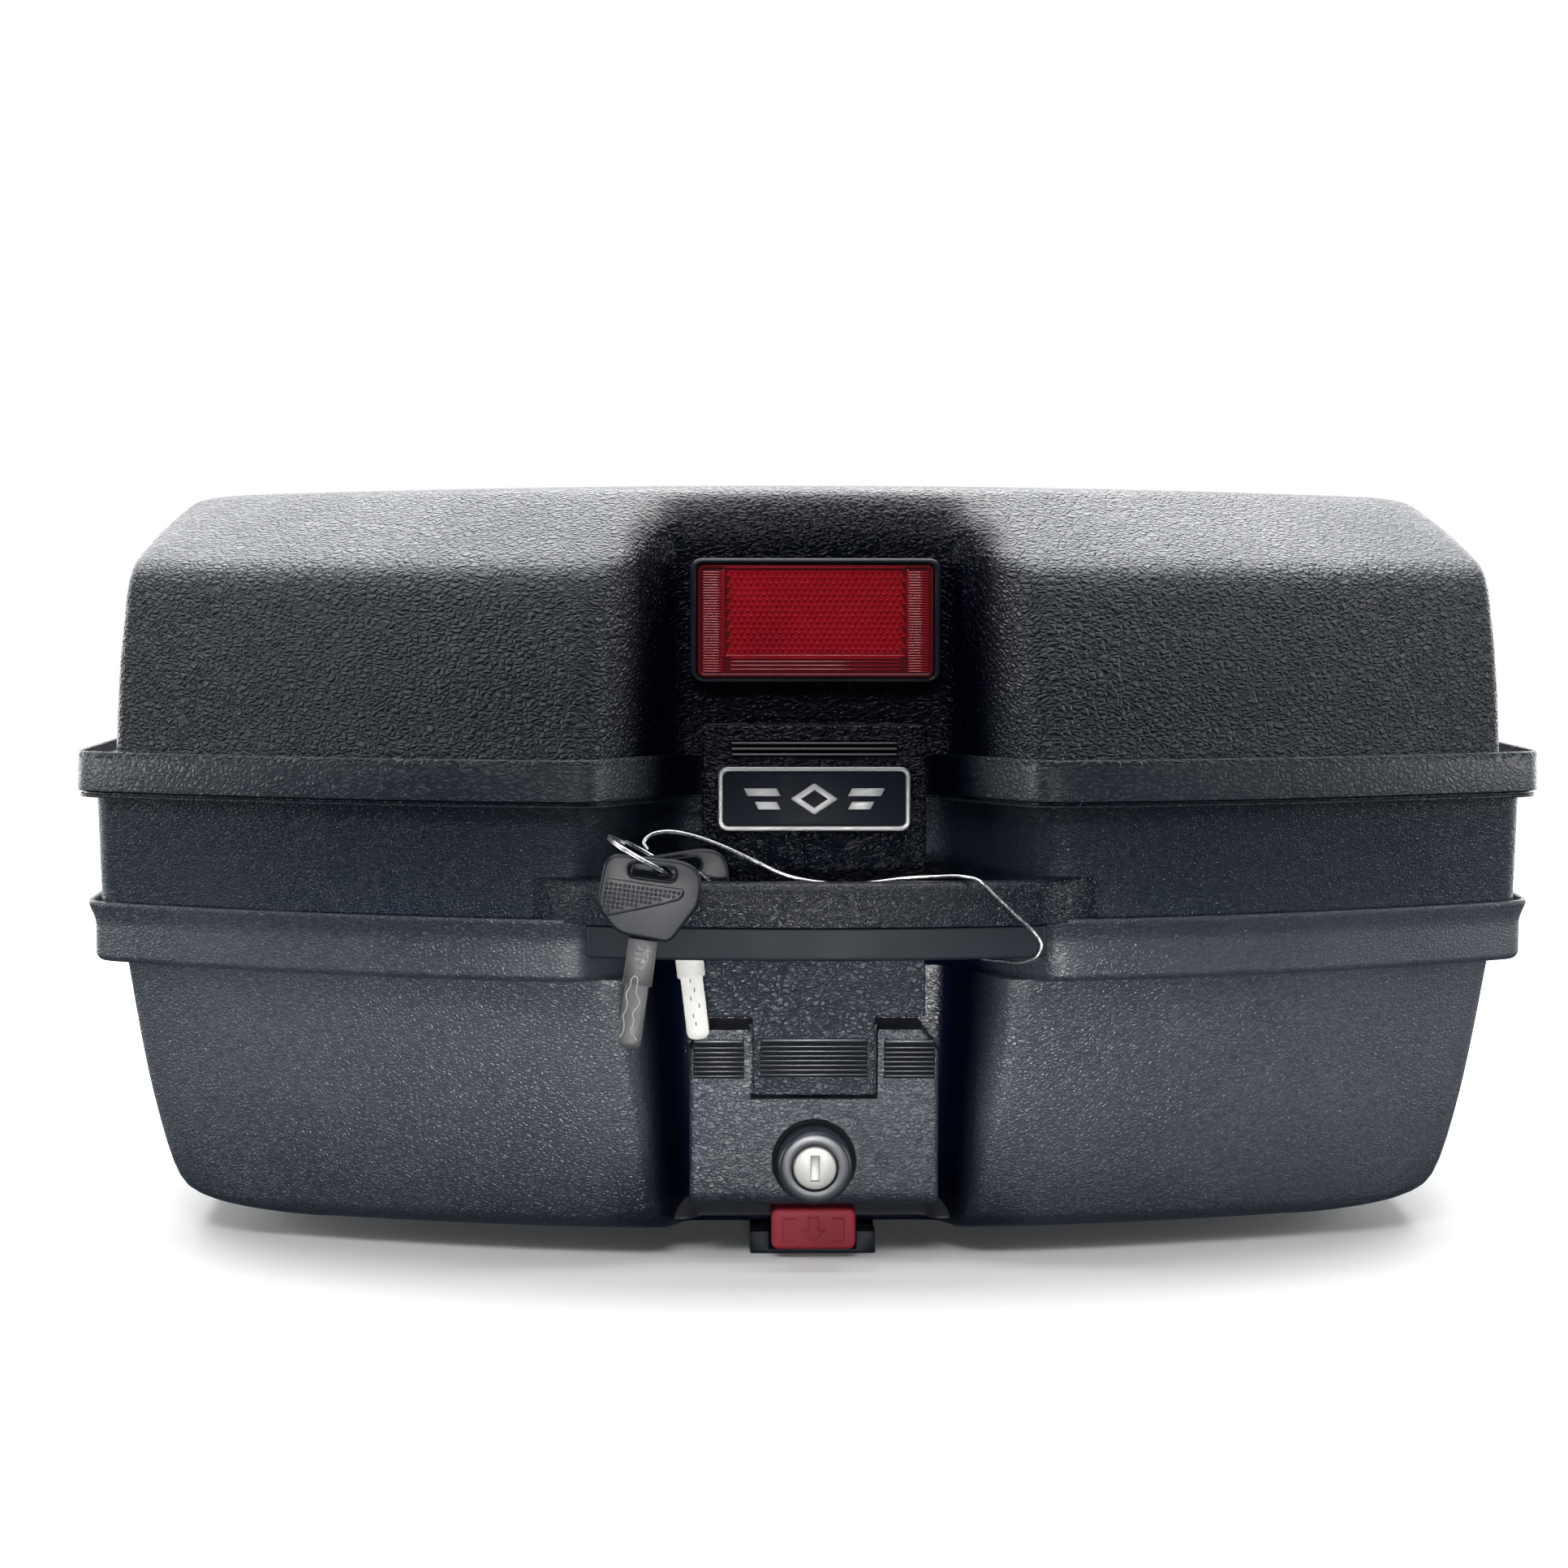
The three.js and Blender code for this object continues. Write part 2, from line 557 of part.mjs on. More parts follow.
function lockBlock() {
  const half = BLOCK_HALF;
  const [z0, z1] = BLOCK_Z;
  const outline = new THREE.Shape();
  outline.moveTo(-half, z0);
  outline.lineTo(half, z0);
  outline.lineTo(half, z1 - 8);
  outline.lineTo(half - 6, z1);
  outline.lineTo(24, z1);
  outline.lineTo(24, NOTCH_FLOOR_Z);
  outline.lineTo(-24, NOTCH_FLOOR_Z);
  outline.lineTo(-24, z1);
  outline.lineTo(-half + 6, z1);
  outline.lineTo(-half, z1 - 8);
  const face = slabXZ(outline, BLOCK_FRONT_Y, BLOCK_BACK_Y);
  const back = box([-30, 30], [-161.5, BLOCK_BACK_Y], [z0 + 4, z1 - 3]);
  const pocket = box([-half + 4, half - 4], [-168, -145], [z0 + 4, NOTCH_FLOOR_Z - 5]);
  const barrel = rod('y', 9.6, -180, -140, LOCK.x, LOCK.z, 28);
  const seat = rod('y', LOCK.recessR, -178, -173.6, LOCK.x, LOCK.z, 32);
  const catchWay = box([-8.4, 8.4], [-162, -144], [CATCH.z[0] - 0.4, CATCH.z[1] + 0.4]);
  const screwHoles = BLOCK_SCREWS.map(([x, z]) => screwHoleY(x, -156, -140, z));
  const ribs = [[-45.2, -26.5], [26.5, 45.2]].flatMap((x) => ribField(x, BLOCK_FRONT_Y));
  return cut(join(face, back, ...ribs), pocket, barrel, seat, catchWay, ...screwHoles);
}

const BLOCK_SCREWS = [[-34, 76], [34, 76]];

function lockBezel() {
  return turnedY([
    [8.5, -191], [12.6, -191], [13.9, -189.4], [13.9, -173.9], [9.4, -173.9], [9.4, -141],
    [8.5, -141], [8.5, -191],
  ], LOCK.x, LOCK.z, 32);
}

function lockPlug() {
  const body = turnedY([
    [0, -190.6], [7.4, -190.6], [LOCK.plugR, -189.8], [LOCK.plugR, -137.6], [0, -137.6],
  ], LOCK.x, LOCK.z, 28);
  const keyway = box([LOCK.x - 1.75, LOCK.x + 1.75], [-192, -165], [LOCK.z - 4.9, LOCK.z + 4.9]);
  return cut(body, keyway);
}

function lockCam() {
  const lever = roundedRect(LOCK.x - 5, LOCK.x + 5, LOCK.z - 8, LOCK.z + 22, 4);
  return slabXZ(lever, -137.3, -134.8);
}

function camNut() {
  return rod('y', 5.5, -134.5, -130.5, LOCK.x, LOCK.z, 6);
}

function latchCatch() {
  const nose = box([-CATCH.half, CATCH.half], [-161.7, -139], CATCH.z);
  const flange = box([-13, 13], [-141.7, -138.7], [CATCH.z[0] - 2, CATCH.z[1] + 2]);
  return join(nose, flange);
}

function catchKeeper() {
  const plate = box([-22, 22], [-116, -113.5], [63, 84]);
  const legs = [-22, 19].map((x) => box([x, x + 3], [-141.6, -113.5], [63, 84]));
  return join(plate, ...legs);
}

// ---------------------------------------------------------------- reflector

function reflectorHousing() {
  const [z0, z1] = REFLECTOR.z;
  const [rimX, rimZ] = REFLECTOR.rim;
  const x0 = REFLECTOR.x - REFLECTOR.half - rimX;
  const x1 = REFLECTOR.x + REFLECTOR.half + rimX;
  const tray = slabXZ(roundedRect(x0, x1, z0 - rimZ, z1 + rimZ, 4), -152.5, -147.7);
  const well = slabXZ(roundedRect(x0 + rimX - GAP, x1 - rimX + GAP, z0 - GAP, z1 + GAP, 2.2), -153, -149.3);
  return cut(tray, well);
}

function reflectorLens() {
  const [z0, z1] = REFLECTOR.z;
  const x0 = REFLECTOR.x - REFLECTOR.half;
  const x1 = REFLECTOR.x + REFLECTOR.half;
  return slabXZ(roundedRect(x0, x1, z0, z1, 1.9), -153.2, -149.6);
}

// ---------------------------------------------------------------- handle

/** The space taken by the base flange and the ring, which the handle's ends butt against. */
function handleBacking() {
  const at = (t, z) => ringAt(inset(FLANGE, t - GAP), z);
  const lipTop = BASE_FLANGE_Z[1] + GAP;
  return loft([
    at(BASE_FLANGE_INSET, 100),
    at(BASE_FLANGE_INSET, 122),
    at(BASE_LIP_INSET, 128.5),
    at(BASE_LIP_INSET, lipTop),
    at(8, lipTop),
    at(8, 150),
  ]);
}

/** One layer of the carry handle: a bar of even depth, bowed forward, butted against the shells. */
function handleLayer(half, z0, z1, frontY, endY) {
  const shape = new THREE.Shape();
  const steps = 12;
  const bowY = (x) => frontY + (endY - frontY) * (x / half) ** 2;
  const stations = Array.from({ length: steps + 1 }, (_, i) => -half + (2 * half * i) / steps);
  shape.moveTo(-half, bowY(half) + BAR.depth);
  stations.forEach((x) => shape.lineTo(x, bowY(x)));
  stations.reverse().forEach((x) => shape.lineTo(x, bowY(x) + BAR.depth));
  return cut(slabXY(shape, z0, z1), handleBacking());
}

// ---------------------------------------------------------------- rear hinges

function knuckle(x0, x1) {
  return rod('x', 4.6, x0, x1, HINGE_Y, HINGE_Z, 16);
}

function hingeBore() {
  return rod('x', 2.05, -400, 400, HINGE_Y, HINGE_Z, 16);
}

function ringLeaf(x) {
  const plate = box([x - 24, x + 24], [198.2, 200.6], [146, 166]);
  const arms = [-22, 12].map((dx) => {
    const arm = new THREE.Shape();
    arm.moveTo(198.4, 152);
    arm.lineTo(216.4, HINGE_Z - 1);
    arm.lineTo(207.6, HINGE_Z + 1);
    arm.lineTo(205.2, 169.5);
    arm.lineTo(198.4, 166);
    const web = new THREE.ExtrudeGeometry(arm, { depth: 10, bevelEnabled: false });
    web.rotateX(Math.PI / 2).rotateZ(Math.PI / 2).translate(x + dx, 0, 0);
    return join(web, knuckle(x + dx, x + dx + 10));
  });
  return cut(join(plate, ...arms), hingeBore());
}

function lidLeaf(x) {
  const plate = box([x - 24, x + 24], [205.3, 207.7], [178, 188]);
  const web = box([x - 11.5, x + 11.5], [205.3, 212], [174, 180]);
  return cut(join(plate, web, knuckle(x - 11.5, x + 11.5)), hingeBore());
}

// ---------------------------------------------------------------- keys, ring and tie wire

const KEY_SLOT = { halfX: 8.6, halfZ: 2.7 };

/** A key head hanging from its slot, which is centred on the local origin. */
function keyHead() {
  const shape = new THREE.Shape();
  shape.moveTo(-13.5, 4.7);
  shape.quadraticCurveTo(-17.4, 3.6, -17.8, -1);
  shape.lineTo(-18.2, -11);
  shape.quadraticCurveTo(-18.2, -15.5, -14.5, -18.5);
  shape.quadraticCurveTo(-11, -23.2, -6, -23.8);
  shape.lineTo(7.5, -24.4);
  shape.quadraticCurveTo(9.5, -24.4, 11, -22);
  shape.lineTo(17.8, -10);
  shape.quadraticCurveTo(18.4, -4, 17.8, -1);
  shape.quadraticCurveTo(16.6, 5, 8, 5.4);
  const { halfX, halfZ } = KEY_SLOT;
  shape.holes.push(roundedRect(-halfX, halfX, -halfZ, halfZ, halfZ - 0.1));
  return slabXZ(shape, -KEY_THICKNESS / 2, KEY_THICKNESS / 2, 3);
}

/** The steel blade below a key head, with a shoulder and a rounded tip. */
function keyBlade() {
  const shape = new THREE.Shape();
  shape.moveTo(-5.2, -24.8);
  shape.lineTo(-5.2, -41);
  shape.lineTo(-4.2, -41.6);
  shape.lineTo(-4.2, -61.5);
  shape.quadraticCurveTo(-4, -64.5, 0, -64.5);
  shape.quadraticCurveTo(4, -64.5, 4.2, -61.5);
  shape.lineTo(4.2, -41.6);
  shape.lineTo(5.2, -41);
  shape.lineTo(5.2, -24.8);
  return slabXZ(shape, -1.1, 1.1);
}

/** Hangs a key piece at its place, leaning by an angle about Y. */
function hang(piece, key) {
  return piece.rotateY(key.lean).translate(key.x, key.y, key.z);
}

/** The ring stands across the bar: its plane holds Y and a line that falls to the right. */
function keyRing() {
  const ring = new THREE.TorusGeometry(KEY_RING.radius, KEY_RING.wire, 6, 28);
  return ring.rotateY(KEY_RING.pitch).translate(KEY_RING.x, KEY_RING.y, KEY_RING.z);
}

// The wire leaves the key ring, arches up, drops behind the bar, runs along its back edge, crosses
// over the top, wraps the right end of the front face and goes back behind the bar to the ring.
const WIRE_ROUTE = [
  [-61.0, -216.5, 157.0], [-62.4, -215.5, 159.6], [-59.5, -213.5, 162.3], [-53.0, -211.5, 163.1],
  [-44.0, -209.5, 161.2], [-33.5, -207.5, 157.2], [-22.0, -205.6, 151.6], [-11.0, -205.0, 146.6],
  [2.0, -205.2, 144.0], [18.0, -204.8, 143.8], [32.0, -204.2, 145.4], [44.0, -206.0, 146.2],
  [52.0, -210.5, 146.7], [58.2, -215.4, 145.6], [63.5, -214.8, 140.8], [71.5, -213.0, 133.0],
  [78.5, -211.4, 126.5], [81.4, -211.0, 121.5], [79.5, -211.2, 117.4], [75.0, -209.0, 115.2],
  [68.0, -204.0, 115.1], [61.0, -199.3, 115.5], [53.5, -199.6, 119.5], [40.0, -203.0, 125.5],
  [20.0, -204.8, 130.5], [0.0, -205.4, 134.5], [-18.0, -204.6, 137.8], [-30.0, -202.6, 140.5],
  [-37.5, -202.0, 142.8], [-42.0, -202.3, 146.8], [-46.5, -205.6, 149.6],
];

function tieWire() {
  const points = WIRE_ROUTE.map(([x, y, z]) => new THREE.Vector3(x, y, z));
  return tube(new THREE.CatmullRomCurve3(points, false, 'centripetal'), WIRE_DIAMETER / 2, 72, 6);
}

// ---------------------------------------------------------------- assembly

function addBase() {
  const panelHoles = [
    rod('y', 9.6, -150, -139, LOCK.x, LOCK.z, 28),
    box([-8.4, 8.4], [-150, -138], [CATCH.z[0] - 0.4, CATCH.z[1] + 0.4]),
    ...BLOCK_SCREWS.map(([x, z]) => screwHoleY(x, -150, -139, z)),
  ];
  const floorScrews = [...COUPLING_SCREWS, ...BRACKET_SCREWS];
  const floorHoles = floorScrews.map(([x, y]) => {
    return rod('z', 2.2, BASE_BOTTOM_Z - 2, BASE_FLOOR_Z + 3, x, y, 12);
  });
  add('base_shell', cut(baseShell(), ...panelHoles, ...floorHoles), GRAINED);
  add('coupling_plate', couplingPlate(), SMOOTH_BLACK);
  COUPLING_SCREWS.forEach(([x, y], i) => {
    add(`coupling_screw_${i + 1}`, screwZ(x, y, BASE_FLOOR_Z + GAP, 10), STEEL);
  });
  const matHoles = COUPLING_SCREWS.map(([x, y]) => rod('z', 6, BASE_BOTTOM_Z, BASE_BOTTOM_Z + 10, x, y, 12));
  const matZ = [BASE_FLOOR_Z + GAP, BASE_FLOOR_Z + GAP + 2];
  const mat = slabXY(roundedRect(-185, 185, -125, 125, 30), ...matZ, 5);
  add('floor_mat', cut(mat, ...matHoles), MAT_FABRIC);
  add('release_bracket', releaseBracket(), SMOOTH_BLACK);
  BRACKET_SCREWS.forEach(([x, y], i) => {
    add(`bracket_screw_${i + 1}`, screwZ(x, y, BASE_FLOOR_Z + GAP, 10), STEEL);
  });
  add('push_button', pushButton(), BUTTON_RED);
  add('release_hook', releaseHook(), STEEL);
  add('release_spring', springY(13, 2.3, BUTTON.backY + 0.8, -123.6, 2.2, 0.9, 7), STEEL);
}

function addRing() {
  add('extension_ring', extensionRing(), RING_PLASTIC);
  add('ring_seal', gasket(8.6, 11.2, 115.8, 118), RUBBER);
  add('handle_bar', handleLayer(BAR.half, BAR.splitZ + GAP, BAR.z[1], BAR.frontY, BAR.endY), RING_PLASTIC);
  const band = handleLayer(BAR.half - 6, BAR.z[0], BAR.splitZ, BAR.frontY + 0.6, BAR.endY - 0.6);
  add('handle_band', band, SMOOTH_BLACK);
}

function addLid() {
  const bracketHoles = BRACKET_STUDS.map((x) => screwHoleY(x, -152, -138, STRAP_PIN.z - 1));
  add('lid_shell', cut(lidShell(), ...bracketHoles), GRAINED);
  add('lid_seal', gasket(9, 14, 177.3, 180.7), RUBBER);
  add('reflector_housing', reflectorHousing(), SMOOTH_BLACK);
  add('reflector_lens', reflectorLens(), LENS_RED);
  add('strap_bracket', strapBracket(), SMOOTH_BLACK);
  BRACKET_STUDS.forEach((x, i) => {
    add(`strap_screw_${i + 1}`, screwY(x, -143.2, STRAP_PIN.z - 1, 6), STEEL);
  });
  add('strap_pin', rod('x', STRAP_PIN.r, -33.5, 33.5, STRAP_PIN.y, STRAP_PIN.z, 20), STEEL);
}

function addLatch() {
  add('latch_strap', latchStrap(), GRAINED);
  add('badge_frame', frameXZ(-36, 36, 160.5, 184.5, 3.5, 1.8, -175.2, -173.3), BADGE_METAL);
  add('badge_plate', slabXZ(roundedRect(-33.9, 33.9, 162.6, 182.4, 1.6), -174.6, -173.3), SMOOTH_BLACK);
  add('lock_block', lockBlock(), GRAINED);
  add('lock_bezel', lockBezel(), SMOOTH_BLACK);
  add('lock_plug', lockPlug(), STEEL);
  add('lock_cam', lockCam(), STEEL);
  add('cam_nut', camNut(), STEEL);
  add('latch_catch', latchCatch(), DARK_STEEL);
  add('catch_keeper', catchKeeper(), STEEL);
  add('catch_spring', springY(0, 72.5, -138, -116.8, 3.4, 1, 6), STEEL);
  BLOCK_SCREWS.forEach(([x, z], i) => {
    add(`lock_screw_${i + 1}`, screwY(x, -141.7, z, 12), STEEL);
  });
}

function addHinges() {
  [['left', -HINGE_X], ['right', HINGE_X]].forEach(([side, x]) => {
    add(`hinge_ring_leaf_${side}`, ringLeaf(x), SMOOTH_BLACK);
    add(`hinge_lid_leaf_${side}`, lidLeaf(x), SMOOTH_BLACK);
    add(`hinge_pin_${side}`, rod('x', 2, x - 23, x + 23, HINGE_Y, HINGE_Z, 16), STEEL);
  });
}

function addKeys() {
  add('key_a_head', hang(keyHead(), KEY_A), SMOOTH_BLACK);
  add('key_a_blade', hang(keyBlade(), KEY_A), DARK_STEEL);
  add('key_b_head', hang(keyHead(), KEY_B), SMOOTH_BLACK);
  add('key_b_blade', hang(keyBlade(), KEY_B), STEEL);
  add('key_ring', keyRing(), STEEL);
  add('tie_wire', tieWire(), STEEL);
}

addBase();
addRing();
addLid();
addLatch();
addHinges();
addKeys();

export default group;
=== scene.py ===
"""A hard motorcycle top case, seen level from its lock side.

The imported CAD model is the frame. Its sizes are repeated here in millimetres, in the CAD's own axes
(+Z up, -Y the side with the lock), and every mesh is scaled to metres as it is made. Heights are
measured from the CAD's datum plane, and each finished piece is lifted by that plane's height.
"""

import math

import bmesh
import bpy
import numpy as np
from mathutils import Matrix, Vector


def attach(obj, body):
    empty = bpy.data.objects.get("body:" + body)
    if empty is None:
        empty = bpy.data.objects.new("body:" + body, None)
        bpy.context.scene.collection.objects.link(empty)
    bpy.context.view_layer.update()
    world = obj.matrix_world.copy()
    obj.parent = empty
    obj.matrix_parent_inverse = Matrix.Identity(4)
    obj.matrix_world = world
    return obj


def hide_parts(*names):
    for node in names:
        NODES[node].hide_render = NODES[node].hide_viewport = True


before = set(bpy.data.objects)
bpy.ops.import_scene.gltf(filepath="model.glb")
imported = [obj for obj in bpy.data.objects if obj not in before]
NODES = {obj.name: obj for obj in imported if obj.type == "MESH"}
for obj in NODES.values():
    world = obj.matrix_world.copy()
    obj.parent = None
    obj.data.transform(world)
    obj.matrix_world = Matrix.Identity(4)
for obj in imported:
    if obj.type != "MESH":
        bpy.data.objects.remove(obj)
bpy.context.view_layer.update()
MM = 0.001

# ---- driving dimensions, millimetres

DATUM_Z = 3
FRONT_Y = -205
WALL = 3
GAP = 0.3
BASE_BOTTOM_Z = 6
BASE_FLANGE_Z = (106.5, 130)
BASE_FLANGE_INSET = 6.1
BASE_LIP_INSET = 3.4
RING_Z = (118.3, 177)
RING_INSET = (8.9, 7.2)
RING_RIM_INSET = 0.8
RING_RIM_Z = (170.7, 172.7)
LID_FLANGE_Z = (173, 188.5)
LEDGE_Z = 184
SHOULDER_Z = 257
CROWN = 3
CROWN_SCALES = (0.98, 0.93, 0.85, 0.72, 0.55, 0.35, 0.15)

STRAP = {"front": -173, "back": -162, "half": 42, "z": (90, 200), "tongue_half": 23, "tongue_z": 60.4}
BLOCK = {"front": -176, "back": -146.2, "half": 47, "z": (18.2, 85.7), "notch_z": 59.4}
LOCK_X, LOCK_Z = 0, 36
REFLECTOR_X = 1
BAR = {"half": 90, "z": (116.7, 145), "split": 128.4, "front": -219, "end": -207, "depth": 12}
BUTTON_Z = (0.7, 16.3)
STEM_Z = (-0.5, 5.1)
KEY_RING = {"at": (-62.5, -208.2, 153.6), "radius": 14.8, "pitch": math.pi / 6}
KEY_A = {"at": (-59.2, -219.2, 149.3), "lean": 0.138}
KEY_B = {"at": (-50.5, -197.5, 149.5), "lean": -0.118}
KEY_THICKNESS = 4.2


def linked(name, data):
    """A new object of the scene with this data."""
    made = bpy.data.objects.new(name, data)
    bpy.context.scene.collection.objects.link(made)
    return made


def turn(degrees, axis):
    return Matrix.Rotation(math.radians(degrees), 4, axis)


# ---- camera

FOCAL_LENGTH, SENSOR_WIDTH = 63.35, 36
CAMERA_AT = (-29, -1205, 242)
YAW, PITCH, ROLL = -0.98, -3.38, 0.05


def make_camera():
    data = bpy.data.cameras.new("camera")
    data.lens = FOCAL_LENGTH
    data.sensor_width = SENSOR_WIDTH
    camera = linked("camera", data)
    place = Matrix.Translation(Vector(CAMERA_AT) * MM)
    camera.matrix_world = place @ turn(YAW, "Z") @ turn(90 + PITCH, "X") @ turn(ROLL, "Z")
    bpy.context.scene.camera = camera


make_camera()


# ---- tie wire

WIRE_DIAMETER = 1.3
WIRE_ROUTE = [
    (-61.0, -216.5, 157.0), (-62.4, -215.5, 159.6), (-59.5, -213.5, 162.3), (-53.0, -211.5, 163.1),
    (-44.0, -209.5, 161.2), (-33.5, -207.5, 157.2), (-22.0, -205.6, 151.6), (-11.0, -205.0, 146.6),
    (2.0, -205.2, 144.0), (18.0, -204.8, 143.8), (32.0, -204.2, 145.4), (44.0, -206.0, 146.2),
    (52.0, -210.5, 146.7), (58.2, -215.4, 145.6), (63.5, -214.8, 140.8), (71.5, -213.0, 133.0),
    (78.5, -211.4, 126.5), (81.4, -211.0, 121.5), (79.5, -211.2, 117.4), (75.0, -209.0, 115.2),
    (68.0, -204.0, 115.1), (61.0, -199.3, 115.5), (53.5, -199.6, 119.5), (40.0, -203.0, 125.5),
    (20.0, -204.8, 130.5), (0.0, -205.4, 134.5), (-18.0, -204.6, 137.8), (-30.0, -202.6, 140.5),
    (-37.5, -202.0, 142.8), (-42.0, -202.3, 146.8), (-46.5, -205.6, 149.6),
]


def smooth_route(points, per_span):
    """A centripetal Catmull-Rom curve through the points."""
    pts = [np.array(p, float) for p in points]
    pts = [2 * pts[0] - pts[1], *pts, 2 * pts[-1] - pts[-2]]
    route = []
    for p0, p1, p2, p3 in zip(pts, pts[1:], pts[2:], pts[3:]):
        d0, d1, d2 = (math.sqrt(np.linalg.norm(b - a)) for a, b in ((p0, p1), (p1, p2), (p2, p3)))
        start = ((p1 - p0) / d0 - (p2 - p0) / (d0 + d1) + (p2 - p1) / d1) * d1
        end = ((p2 - p1) / d1 - (p3 - p1) / (d1 + d2) + (p3 - p2) / d2) * d1
        for i in range(per_span):
            t = i / per_span
            route.append(
                (2 * t**3 - 3 * t**2 + 1) * p1 + (t**3 - 2 * t**2 + t) * start
                + (3 * t**2 - 2 * t**3) * p2 + (t**3 - t**2) * end
            )
    return np.array([*route, pts[-2]])


def line_curve(name, points, radius, cyclic=False, sides=3):
    """A round wire along points in millimetres, as a curve object in metres."""
    curve = bpy.data.curves.new(name, "CURVE")
    curve.dimensions = "3D"
    curve.bevel_depth = radius
    curve.bevel_resolution = sides
    curve.use_fill_caps = True
    spline = curve.splines.new("POLY")
    spline.points.add(len(points) - 1)
    for target, point in zip(spline.points, points):
        target.co = (*(c * MM for c in point), 1)
        target.radius = MM
    spline.use_cyclic_u = cyclic
    spline.use_smooth = True
    return linked(name, curve)


wire_points = smooth_route(WIRE_ROUTE, 8) + (0, 0, DATUM_Z)
wire = line_curve("tie_wire_bent", wire_points, WIRE_DIAMETER / 2)
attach(wire, "case")
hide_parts("tie_wire")


# ---- materials

def rgba(color):
    """A colour in thousandths as Blender takes it."""
    return (*(c / 1000 for c in color), 1)


class Shader:
    """A Principled material. Values that are the same all over sit on the shader's own sockets."""

    def __init__(self, name, color, roughness, metallic=0.0, **sockets):
        self.material = bpy.data.materials.new(name)
        self.material.use_nodes = True
        self.tree = self.material.node_tree
        self.bsdf = self.tree.nodes["Principled BSDF"]
        self.bsdf.inputs["Base Color"].default_value = rgba(color)
        self.bsdf.inputs["Roughness"].default_value = roughness
        self.bsdf.inputs["Metallic"].default_value = metallic
        for socket, value in sockets.items():
            self.bsdf.inputs[socket.replace("_", " ")].default_value = value

    def node(self, kind, inputs, **settings):
        """The outputs of a new node. An input is linked to a socket or set to a value."""
        made = self.tree.nodes.new("ShaderNode" + kind)
        for key, value in settings.items():
            setattr(made, key, value)
        for key, value in inputs.items():
            if isinstance(value, bpy.types.NodeSocket):
                self.tree.links.new(value, made.inputs[key])
            else:
                made.inputs[key].default_value = value
        return made.outputs

    def coords(self, stretch=(1, 1, 1)):
        place = self.node("TexCoord", {})["Object"]
        return self.node("Mapping", {"Vector": place, "Scale": stretch})["Vector"]

    def place(self):
        return self.node("SeparateXYZ", {"Vector": self.coords()})

    def noise(self, scale, detail=2.0, stretch=(1, 1, 1)):
        inputs = {"Vector": self.coords(stretch), "Scale": scale, "Detail": detail}
        return self.node("TexNoise", inputs)["Fac"]

    def maths(self, operation, a, b):
        return self.node("Math", {0: a, 1: b}, operation=operation)[0]

    def product(self, a, b):
        return self.maths("MULTIPLY", a, b)

    def ranged(self, value, low, high, to_low=0.0, to_high=1.0):
        inputs = {"Value": value, "From Min": low, "From Max": high, "To Min": to_low, "To Max": to_high}
        return self.node("MapRange", inputs, interpolation_type="SMOOTHSTEP")["Result"]

    def blend(self, factor, a, b):
        a, b = (c if isinstance(c, bpy.types.NodeSocket) else rgba(c) for c in (a, b))
        return self.node("Mix", {0: factor, 6: a, 7: b}, data_type="RGBA")[2]

    def drive(self, socket, source):
        self.tree.links.new(source, self.bsdf.inputs[socket])

    def finished(self, color, rough=None, relief=None, depth_mm=0.0):
        """The material, with its colour, roughness and relief driven."""
        self.drive("Base Color", color)
        if rough:
            self.drive("Roughness", rough)
        if relief:
            inputs = {"Height": relief, "Distance": depth_mm * MM}
            self.drive("Normal", self.node("Bump", inputs)["Normal"])
        return self.material


GRAIN_STRETCH = (0.75, 0.9, 1.25)
# Near black, painted where shade falls: on the floor of the front recess and on the top of the latch
# strap.
PAINTED_SHADE_COLOR = (0.8, 1.6, 6)


def leather_height(shader, cell_mm):
    """Raised cells of a wrinkled leather grain, parted by creases; 0 in a crease and 1 on a cell."""
    cell = cell_mm * MM
    place = shader.coords(GRAIN_STRETCH)
    warp = shader.node("TexNoise", {"Vector": place, "Scale": 0.45 / cell, "Detail": 2.0})["Color"]
    centred = shader.node("VectorMath", {0: warp, 1: (0.5, 0.5, 0.5)}, operation="SUBTRACT")[0]
    shift = shader.node("VectorMath", {0: centred, "Scale": 1.9 * cell}, operation="SCALE")[0]
    warped = shader.node("VectorMath", {0: place, 1: shift}, operation="ADD")[0]
    edges = shader.node("TexVoronoi", {"Vector": warped, "Scale": 1 / cell}, feature="DISTANCE_TO_EDGE")
    swell = shader.ranged(shader.noise(0.9 / cell, 1.0, GRAIN_STRETCH), 0.2, 0.8, 0.45, 1.0)
    return shader.product(shader.ranged(edges["Distance"], 0.0, 0.3), swell)


def painted_recess_shade(shader):
    """1 on the floor of the recess in the middle of the front, painted near black as shade, 0 on the
    grained rest.
    """
    place = shader.place()
    across = shader.ranged(shader.maths("ABSOLUTE", place["X"], 0.0), 0.062, 0.088, 1.0, 0.0)
    depth = shader.ranged(place["Y"], -0.188, -0.160)
    front = shader.ranged(place["Y"], -0.125, -0.100, 1.0, 0.0)
    height = shader.ranged(place["Z"], 0.278, 0.306, 1.0, 0.0)
    return shader.product(shader.product(across, height), shader.product(depth, front))


def painted_strap_top_shade(shader):
    """1 on the upper part of the latch strap, painted darker as shade and made glossier, 0 on its lower
    part.
    """
    return shader.ranged(shader.place()["Z"], 0.105, 0.150)


